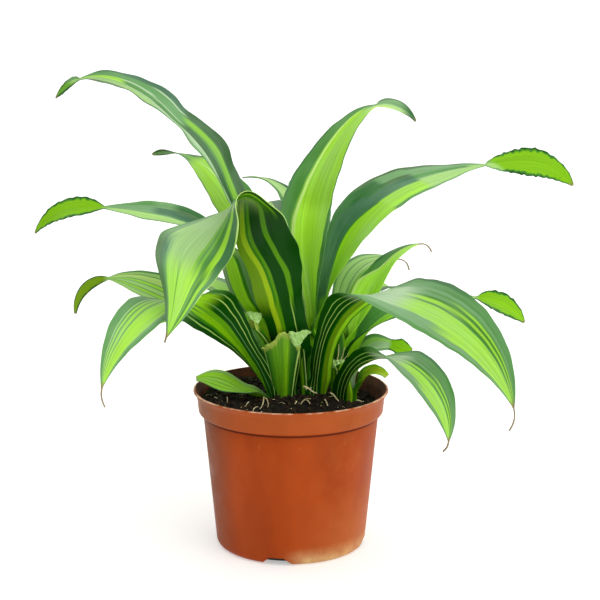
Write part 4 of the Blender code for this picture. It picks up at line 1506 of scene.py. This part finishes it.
@dataclass
class NurseryPot:
    """A thin moulded pot. Lengths are in millimetres and angles in degrees."""

    lip: float = 70.0
    height: float = 115.0
    groove: float = 96.6
    body: float = 62.9
    foot: float = 54.2
    corner: float = 5.0
    wall: float = 1.3
    floor: float = 2.0
    segments: int = 192
    notches: int = 4
    notch_heading: float = 259.3
    notch_width: float = 23.0
    notch_top: float = 10.5
    notch_height: float = 5.5
    notch_depth: float = 15.0
    notch_shell: float = 1.4
    sharp_edge: float = 38.0

    def outside(self) -> list[tuple[float, float]]:
        """The outer profile.

        Returns:
            The radius and the height of each point from the lip to the foot.
        """
        # How far in from the lip and down from the top the rim lies, then the groove under its band
        rim = (
            (0.9, 0.0), (0.35, 0.08), (0.0, 0.5), (0.0, 0.95), (0.2, 1.6), (0.8, 2.4), (2.0, 3.8),
            (2.55, 5.5), (2.9, 8.0),
        )
        line = [(self.lip - inward, self.height - down) for inward, down in rim]
        line += [(self.lip - inward, self.groove + up) for inward, up in ((3.5, 4.4), (3.8, 2.6), (4.6, 1.6))]
        edge = ((0.9, 0.9), (-0.1, 0.35), (-0.3, 0.0), (-0.22, -0.5), (0.0, -1.0))
        line += [(self.body + outward, self.groove + up) for outward, up in edge]
        drop = self.groove - 1.0 - self.corner
        for share in (0.75, 0.5, 0.25):
            line.append((self.foot + (self.body - self.foot) * share, self.corner + drop * share))
        inner, steps = self.foot - self.corner, 8
        for turn in np.linspace(0.0, math.pi / 2, steps + 1):
            line.append((inner + self.corner * math.cos(turn), self.corner * (1 - math.sin(turn))))
        return line

    def inside(self) -> list[tuple[float, float]]:
        """The inner profile.

        Returns:
            The radius and the height of each point from the lip to the floor.
        """
        rim = ((0.0, 0.1), (0.5, 1.6), (2.0, 4.0), (2.9, 8.0))
        line = [(self.lip - self.wall - inward, self.height - down) for inward, down in rim]
        return line + [
            (self.lip - self.wall - 3.5, self.groove + 4.4),
            (self.body - self.wall, self.groove),
            (self.foot - self.wall + 0.2, self.floor + 4.0),
            (self.foot - self.wall - 3.0, self.floor),
        ]

    def block(self, name: str, heading: float, spread: float, low: float, reach: float) -> bpy.types.Object:
        """A block with sloping sides on the foot, larger all round by spread, for a notch.

        Args:
            name: the helper's name.
            heading: where it lies round the pot, in degrees.
            spread: how much larger than the notch it is.
            low: the height of its underside.
            reach: how far out it goes.

        Returns:
            The helper, already in place.
        """
        shape = bmesh.new()
        bmesh.ops.create_cube(shape, size=1.0)
        inner = self.foot - self.notch_depth - spread
        for vert in shape.verts:
            upper = vert.co.z > 0
            height = self.notch_height + spread if upper else low
            slope = (self.notch_top - self.notch_width) * height / self.notch_height
            half = (self.notch_width + slope) / 2 + spread
            radial = reach if vert.co.x > 0 else inner + (1.5 if upper else 0.0)
            vert.co = Vector((radial, math.copysign(half, vert.co.y), height)) * MM
        bmesh.ops.rotate(shape, verts=shape.verts, matrix=Matrix.Rotation(math.radians(heading), 3, "Z"))
        bmesh.ops.recalc_face_normals(shape, faces=shape.faces)
        return link(name, mesh_from(shape, name))

    def turned(self) -> bpy.types.Object:
        """Turns the pot from its profile, before its notches are cut.

        Returns:
            The object, whose inside has the second material.
        """
        inner = [(0.0, self.floor)] + self.inside()[::-1]
        profile = inner + self.outside() + [(0.0, 0.0)]
        angle = np.linspace(0.0, 2 * math.pi, self.segments, endpoint=False)
        shape = bmesh.new()
        rings = []
        for radius, z in profile:
            around = angle if radius else angle[:1]
            places = [(radius * math.cos(a) * MM, radius * math.sin(a) * MM, z * MM) for a in around]
            rings.append([shape.verts.new(place) for place in places])
        for k, (first, second) in enumerate(zip(rings, rings[1:])):
            for j in range(self.segments):
                corners = [first[j % len(first)], second[j % len(second)]]
                corners += [second[(j + 1) % len(second)], first[(j + 1) % len(first)]]
                face = shape.faces.new(list(dict.fromkeys(corners)))
                face.material_index = 1 if k < len(inner) - 1 else 0
        bmesh.ops.recalc_face_normals(shape, faces=shape.faces)
        return link("pot_shell", mesh_from(shape, "pot_shell"))

    def build(self) -> bpy.types.Object:
        """Turns the pot, cuts its notches and dresses it.

        Returns:
            The finished piece.
        """
        pot = self.turned()
        pot.data.materials.append(PotFinish().material(self))
        pot.data.materials.append(INNER_WALL_SHADE_AND_STAIN.material())
        helpers = []
        # Each notch is cut out of a thickened corner, and the cut goes on through the wall
        for name, operation, *sizes in (
            ("shell", "UNION", self.notch_shell, 1.5, self.foot - 2.0),
            ("hollow", "DIFFERENCE", 0.0, -4.0, self.foot + 6.0),
        ):
            for k in range(self.notches):
                heading = self.notch_heading + 360.0 * k / self.notches
                helper = self.block(f"{name}_{k}", heading, *sizes)
                cut = pot.modifiers.new(helper.name, "BOOLEAN")
                cut.operation = operation
                cut.solver = "EXACT"
                cut.object = helper
                helpers.append(helper)
        finished = make_plain(pot)
        for helper in helpers:
            bpy.data.objects.remove(helper, do_unlink=True)
        finished.set_sharp_from_angle(angle=math.radians(self.sharp_edge))
        return settle(pot, "pot", "pot")


@dataclass(frozen=True)
class Strewing:
    """Many copies of a small shape strewn over the mix, by a Geometry Nodes tree.

    There are density copies on a square metre, between the two sizes in millimetres. A thread is
    bent and thin, and other shapes are uneven lumps. stretch is how long and flat they are.
    """

    piece: str
    finish: PlainFinish
    density: float
    sizes: tuple[float, float]
    seed: int
    stretch: tuple[float, float, float] = (1.0, 0.8, 0.6)
    thread: bool = False

    def tree(self) -> bpy.types.NodeTree:
        """Builds the tree.

        Returns:
            The tree, with named inputs for density, sizes and seed.
        """
        made = bpy.data.node_groups.new(f"Strewn {self.piece}", "GeometryNodeTree")
        sockets = (
            ("Geometry", "INPUT", "Geometry"),
            ("Density", "INPUT", "Float"),
            ("Smallest", "INPUT", "Float"),
            ("Largest", "INPUT", "Float"),
            ("Seed", "INPUT", "Int"),
            ("Geometry", "OUTPUT", "Geometry"),
        )
        for label, side, kind in sockets:
            made.interface.new_socket(label, in_out=side, socket_type=f"NodeSocket{kind}")
        surface, density, smallest, largest, seed = add_node(made, "NodeGroupInput").outputs[:5]
        places = {"Mesh": surface, "Density": density, "Seed": seed}
        tilt = 0.5 if self.thread else math.pi
        turns = {"Min": (-tilt, -tilt, -math.pi), "Max": (tilt, tilt, math.pi), "Seed": seed}
        size = {2: smallest, 3: largest, "Seed": seed}
        scale = {0: self.stretch, "Scale": add_node(made, "FunctionNodeRandomValue", size, data_type="FLOAT")}
        copies = {
            "Points": add_node(made, "GeometryNodeDistributePointsOnFaces", places),
            "Instance": self.shape(made),
            "Rotation": add_node(made, "FunctionNodeRandomValue", turns, data_type="FLOAT_VECTOR"),
            "Scale": add_node(made, "VectorMath", scale, operation="SCALE"),
        }
        strewn = add_node(made, "GeometryNodeInstanceOnPoints", copies)
        real = add_node(made, "GeometryNodeRealizeInstances", {"Geometry": strewn})
        dress = {"Geometry": real, "Material": self.finish.material()}
        add_node(made, "NodeGroupOutput", {"Geometry": add_node(made, "GeometryNodeSetMaterial", dress)})
        return made

    def shape(self, tree: bpy.types.NodeTree) -> bpy.types.Node:
        """Adds the small shape at a size of 1: a bent thread or an uneven lump.

        Args:
            tree: the tree that gets it.

        Returns:
            The node with the shape.
        """
        if self.thread:
            ends = {"Start": (-0.5, 0.0, -0.1), "Middle": (0.0, 0.25, 0.55), "End": (0.5, 0.0, -0.05)}
            line = add_node(tree, "GeometryNodeCurveQuadraticBezier", {"Resolution": 7, **ends})
            ring = add_node(tree, "GeometryNodeCurvePrimitiveCircle", {"Resolution": 5, "Radius": 0.035})
            tube = {"Curve": line, "Profile Curve": ring, "Fill Caps": True}
            return add_node(tree, "GeometryNodeCurveToMesh", tube)
        ball = add_node(tree, "GeometryNodeMeshIcoSphere", {"Radius": 0.5, "Subdivisions": 2})
        noise = add_node(tree, "TexNoise", {"Scale": 2.2, "Detail": 1.0}).outputs["Color"]
        centred = add_node(tree, "VectorMath", {0: noise, 1: (0.5, 0.5, 0.5)}, operation="SUBTRACT")
        return add_node(tree, "GeometryNodeSetPosition", {"Geometry": ball, "Offset": centred})

    def strew(self, bed: bpy.types.Mesh) -> bpy.types.Object:
        """Runs the tree on a surface, and keeps the result as a plain mesh.

        Args:
            bed: the surface.

        Returns:
            The finished piece.
        """
        tree = self.tree()
        piece = link(self.piece, bed)
        modifier = piece.modifiers.new("Strewing", "NODES")
        modifier.node_group = tree
        small, large = self.sizes
        values = {"Density": self.density, "Smallest": small * MM, "Largest": large * MM, "Seed": self.seed}
        for item in tree.interface.items_tree:
            if item.item_type == "SOCKET" and item.in_out == "INPUT" and item.name in values:
                modifier[item.identifier] = values[item.name]
        make_plain(piece)
        return settle(piece, "soil")


@dataclass
class PottingMix:
    """The mix: a plug in the pot with a rough top, strewn with bark, perlite and root ends.

    Each swell has its place to the right and to the back, its radius and its height. skirt holds
    the heights of the rings down the plug's side. All are in millimetres.
    """

    pot: NurseryPot
    level: float = 103.6
    gap: float = 0.4
    rings: int = 46
    spokes: int = 144
    heap: float = 6.0
    swells: tuple[tuple[float, ...], ...] = (
        (-42.0, 40.0, 30.0, 6.5),
        (56.0, 6.0, 20.0, -3.5),
        (-30.0, -48.0, 24.0, -1.0),
    )
    skirt: tuple[float, ...] = (98.0, 60.0, 20.0, 6.5)
    strewn: tuple[Strewing, ...] = (
        Strewing("bark_crumbs", BARK, 8.0e4, (1.2, 5.5), 11),
        Strewing("perlite_grains", PERLITE, 1.6e3, (0.8, 2.2), 5, (1.0, 0.9, 0.7)),
        Strewing("moss_crumbs", MOSS_BITS, 7.0e3, (1.0, 3.2), 21, (1.0, 0.5, 0.4)),
        Strewing("root_fibres", ROOT, 5.0e3, (3.0, 9.0), 8, (1.0, 1.0, 0.6), thread=True),
    )
    root_ends: tuple[Strand, ...] = (
        Strand((8.7, -14.0, 119.5), (18.5, -15.0, 114.0), 1.0, 0.75),
        Strand((10.5, -15.5, 118.0), (15.0, -14.0, 118.5), 0.5, 0.4),
        Strand((28.0, -15.0, 115.0), (34.0, -17.0, 109.0), 0.8, 0.6),
        Strand((-19.0, -17.0, 112.5), (-22.5, -21.0, 103.5), 0.8, 0.55),
        Strand((-18.0, -18.0, 112.0), (-16.5, -20.0, 105.0), 1.2, 0.4),
        Strand((4.0, -18.0, 110.0), (7.0, -21.0, 105.0), -2.5, 0.6),
        Strand((11.5, -18.0, 110.5), (15.5, -22.0, 103.5), 0.7, 0.5),
        Strand((15.5, -21.0, 103.5), (17.5, -19.0, 106.0), 0.4, 0.35),
        Strand((24.0, -18.0, 111.0), (27.0, -24.0, 102.0), 0.8, 0.5),
        Strand((21.0, -20.0, 107.0), (22.0, -22.0, 103.0), 0.8, 0.35),
        Strand((-46.0, 0.0, 108.0), (-46.5, -4.0, 103.0), 0.6, 0.45),
        Strand((-55.0, 2.0, 107.0), (-53.0, 4.0, 106.0), 0.3, 0.5),
        Strand((-30.0, -12.0, 107.5), (-36.0, -16.0, 104.0), 1.0, 0.4),
        Strand((47.0, -6.0, 107.0), (52.0, -8.0, 106.5), 0.6, 0.55),
        Strand((40.0, -18.0, 105.0), (44.0, -20.0, 103.5), 0.8, 0.4),
    )

    def relief(self, x: np.ndarray, y: np.ndarray) -> np.ndarray:
        """How far the mix stands above its mean level, in millimetres.

        Args:
            x: how far right of the pot's axis.
            y: how far behind it.

        Returns:
            The height at each place.
        """
        swells = sum(
            height * np.exp(-((x - right) ** 2 + (y - back) ** 2) / radius**2)
            for right, back, radius, height in self.swells
        )
        lumps = 0.55 * np.sin(0.21 * x + 1.0) * np.sin(0.24 * y + 0.4)
        crumbs = 0.35 * np.sin(0.63 * x - 0.5 * y) + 0.3 * np.sin(0.47 * x + 0.71 * y + 2.0)
        fine = 0.35 * np.sin(1.31 * x + 0.9 * y) * np.sin(1.07 * y - 0.8 * x + 1.3)
        # The mix is heaped against the feet of the leaves at the front
        near = np.exp(-(((x - 12.0) / 30.0) ** 4)) * np.exp(-(((y + 10.0) / 15.0) ** 2))
        return swells + lumps + crumbs + fine + self.heap * near

    def reach(self, z: np.ndarray | float) -> np.ndarray:
        """The radius of the plug at height z, just clear of the wall."""
        line = self.pot.inside()[::-1]
        return np.interp(z, [h for _, h in line], [r for r, _ in line]) - self.gap

    def top(self) -> np.ndarray:
        """The rough top of the mix.

        Returns:
            Rings of points from the middle outwards, in millimetres.
        """
        angle = np.linspace(0.0, 2 * math.pi, self.spokes, endpoint=False)[None, :]
        share = np.linspace(0.0, 1.0, self.rings + 1)[1:, None]
        widest = float(self.reach(self.level))
        x, y = share * widest * np.cos(angle), share * widest * np.sin(angle)
        z = self.level + self.relief(x, y)
        shrink = np.where(share > 0.9, self.reach(z) / widest, 1.0)
        return np.stack([x * shrink, y * shrink, z], -1)

    def plug(self) -> bpy.types.Object:
        """The solid body of the mix.

        Returns:
            The object.
        """
        rings = list(self.top())
        rim = rings[-1]
        bottom = self.pot.floor + 0.3
        for z in (*self.skirt, bottom):
            scale = float(self.reach(z)) / np.linalg.norm(rim[:, :2], axis=1)
            rings.append(np.stack([rim[:, 0] * scale, rim[:, 1] * scale, np.full(len(rim), z)], -1))
        middle = [[0.0, 0.0, self.level + float(self.relief(0.0, 0.0))]]
        points = np.concatenate([middle, *rings, [[0.0, 0.0, bottom]]])
        count, last = self.spokes, 1 + (len(rings) - 1) * self.spokes
        around = [(k, (k + 1) % count) for k in range(count)]
        faces = [(0, 1 + k, 1 + onward) for k, onward in around]
        faces += ring_quads(len(rings) - 1, count, 1)[:, [0, 3, 2, 1]].tolist()
        faces += [(len(points) - 1, last + onward, last + k) for k, onward in around]
        return solid("potting_mix", points, faces, PEAT.material())

    def bed(self) -> bpy.types.Mesh:
        """The open top of the mix, well inside the wall, for things to lie on.

        Returns:
            The mesh.
        """
        top = self.top()[: int(self.rings * 0.95)]
        quads = ring_quads(len(top) - 1, self.spokes)[:, [0, 3, 2, 1]]
        mesh = bpy.data.meshes.new("bed")
        mesh.from_pydata((top.reshape(-1, 3) * MM).tolist(), [], quads.tolist())
        return mesh

    def build(self) -> list[bpy.types.Object]:
        """Makes the plug and strews it.

        Returns:
            The finished pieces.
        """
        made = [settle(self.plug(), "soil", "soil")]
        made += [kind.strew(self.bed()) for kind in self.strewn]
        made.append(settle(bent_tubes("root_ends", self.root_ends, ROOT.material()), "soil"))
        return made


@dataclass(frozen=True)
class Softbox:
    """A wide soft lamp: its strength, where it shines from and how many degrees of sky it fills."""

    name: str
    strength: float
    place: tuple[float, float, float]
    spread: float
    tint: str = "#FFFCF4"

    def build(self) -> None:
        """Hangs the lamp."""
        lamp = bpy.data.lights.new(f"softbox_{self.name}", "SUN")
        lamp.energy = self.strength
        lamp.angle = math.radians(self.spread)
        lamp.color = linear(self.tint)[:3]
        hung = link(lamp.name, lamp)
        hung.rotation_euler = Vector(self.place).to_track_quat("Z", "Y").to_euler()


@dataclass(frozen=True)
class Studio:
    """A white floor, soft light and the camera of the photograph.

    distance is from the pot's axis to the camera and look the height it aims at, in metres. tilt
    is how far it looks down, and focal its focal length in pixels of a picture side pixels wide.
    """

    distance: float = 1.123
    look: float = 0.1792
    tilt: float = 0.203
    focal: float = 1580.0
    side: float = 600.0
    centre: float = -9.16
    sensor: float = 36.0
    floor_size: float = 60.0
    sky: float = 0.48
    table_glow: float = 0.40
    acrylic: str = "#DADADA"
    white: str = "#FFFFFF"
    sight: float = 200.0
    lamps: tuple[Softbox, ...] = (
        Softbox("overhead", 2.0, (0.10, 0.30, 1.0), 110.0),
        Softbox("key", 1.5, (0.70, -0.80, 0.60), 70.0),
    )

    def camera(self) -> bpy.types.Object:
        """Sets the camera where the photograph was taken from.

        Returns:
            The camera.
        """
        lens = bpy.data.cameras.new("camera")
        made = link("camera", lens)
        rise = self.distance * math.sin(self.tilt)
        made.location = (0.0, -self.distance * math.cos(self.tilt), self.look + rise)
        made.rotation_euler = (math.pi / 2 - self.tilt, 0.0, 0.0)
        lens.sensor_width = self.sensor
        lens.lens = self.focal / self.side * self.sensor
        lens.shift_x = -self.centre / self.side
        lens.clip_end = self.sight
        bpy.context.scene.camera = made
        return made

    def table(self) -> bpy.types.Material:
        """White acrylic, lit from below so that shadows on it stay pale.

        Returns:
            The material.
        """
        made, tree = bare_material("Light table, backlit white acrylic")
        inputs = {
            "Base Color": linear(self.acrylic),
            "Roughness": 0.8,
            "Specular IOR Level": 0.1,
            "Emission Color": linear(self.white),
            "Emission Strength": self.table_glow,
        }
        add_node(tree, "OutputMaterial", {"Surface": add_node(tree, "BsdfPrincipled", inputs)})
        return made

    def build(self) -> None:
        """Sets the floor, the sky, the lamps and the camera."""
        half = self.floor_size / 2
        mesh = bpy.data.meshes.new("floor")
        corners = [(-half, -half, 0.0), (half, -half, 0.0), (half, half, 0.0), (-half, half, 0.0)]
        mesh.from_pydata(corners, [], [(0, 1, 2, 3)])
        mesh.materials.append(self.table())
        floor = link("floor", mesh)
        world = bpy.data.worlds.new("Studio sky")
        bpy.context.scene.world = world
        world.use_nodes = True
        back = world.node_tree.nodes["Background"]
        back.inputs["Color"].default_value = linear(self.white)
        back.inputs["Strength"].default_value = self.sky
        for lamp in self.lamps:
            lamp.build()
        self.camera()
        bpy.context.scene.view_settings.view_transform = "Standard"
        bpy.context.scene.view_settings.look = "None"


def main() -> None:
    """Builds the pot, the mix and the plant, and sets the studio round them."""
    logging.basicConfig(level=logging.INFO, format="%(name)s: %(message)s")
    pot = NurseryPot()
    pot.build()
    PottingMix(pot).build()
    Foliage().build()
    Studio().build()


if __name__ == "__main__":
    main()
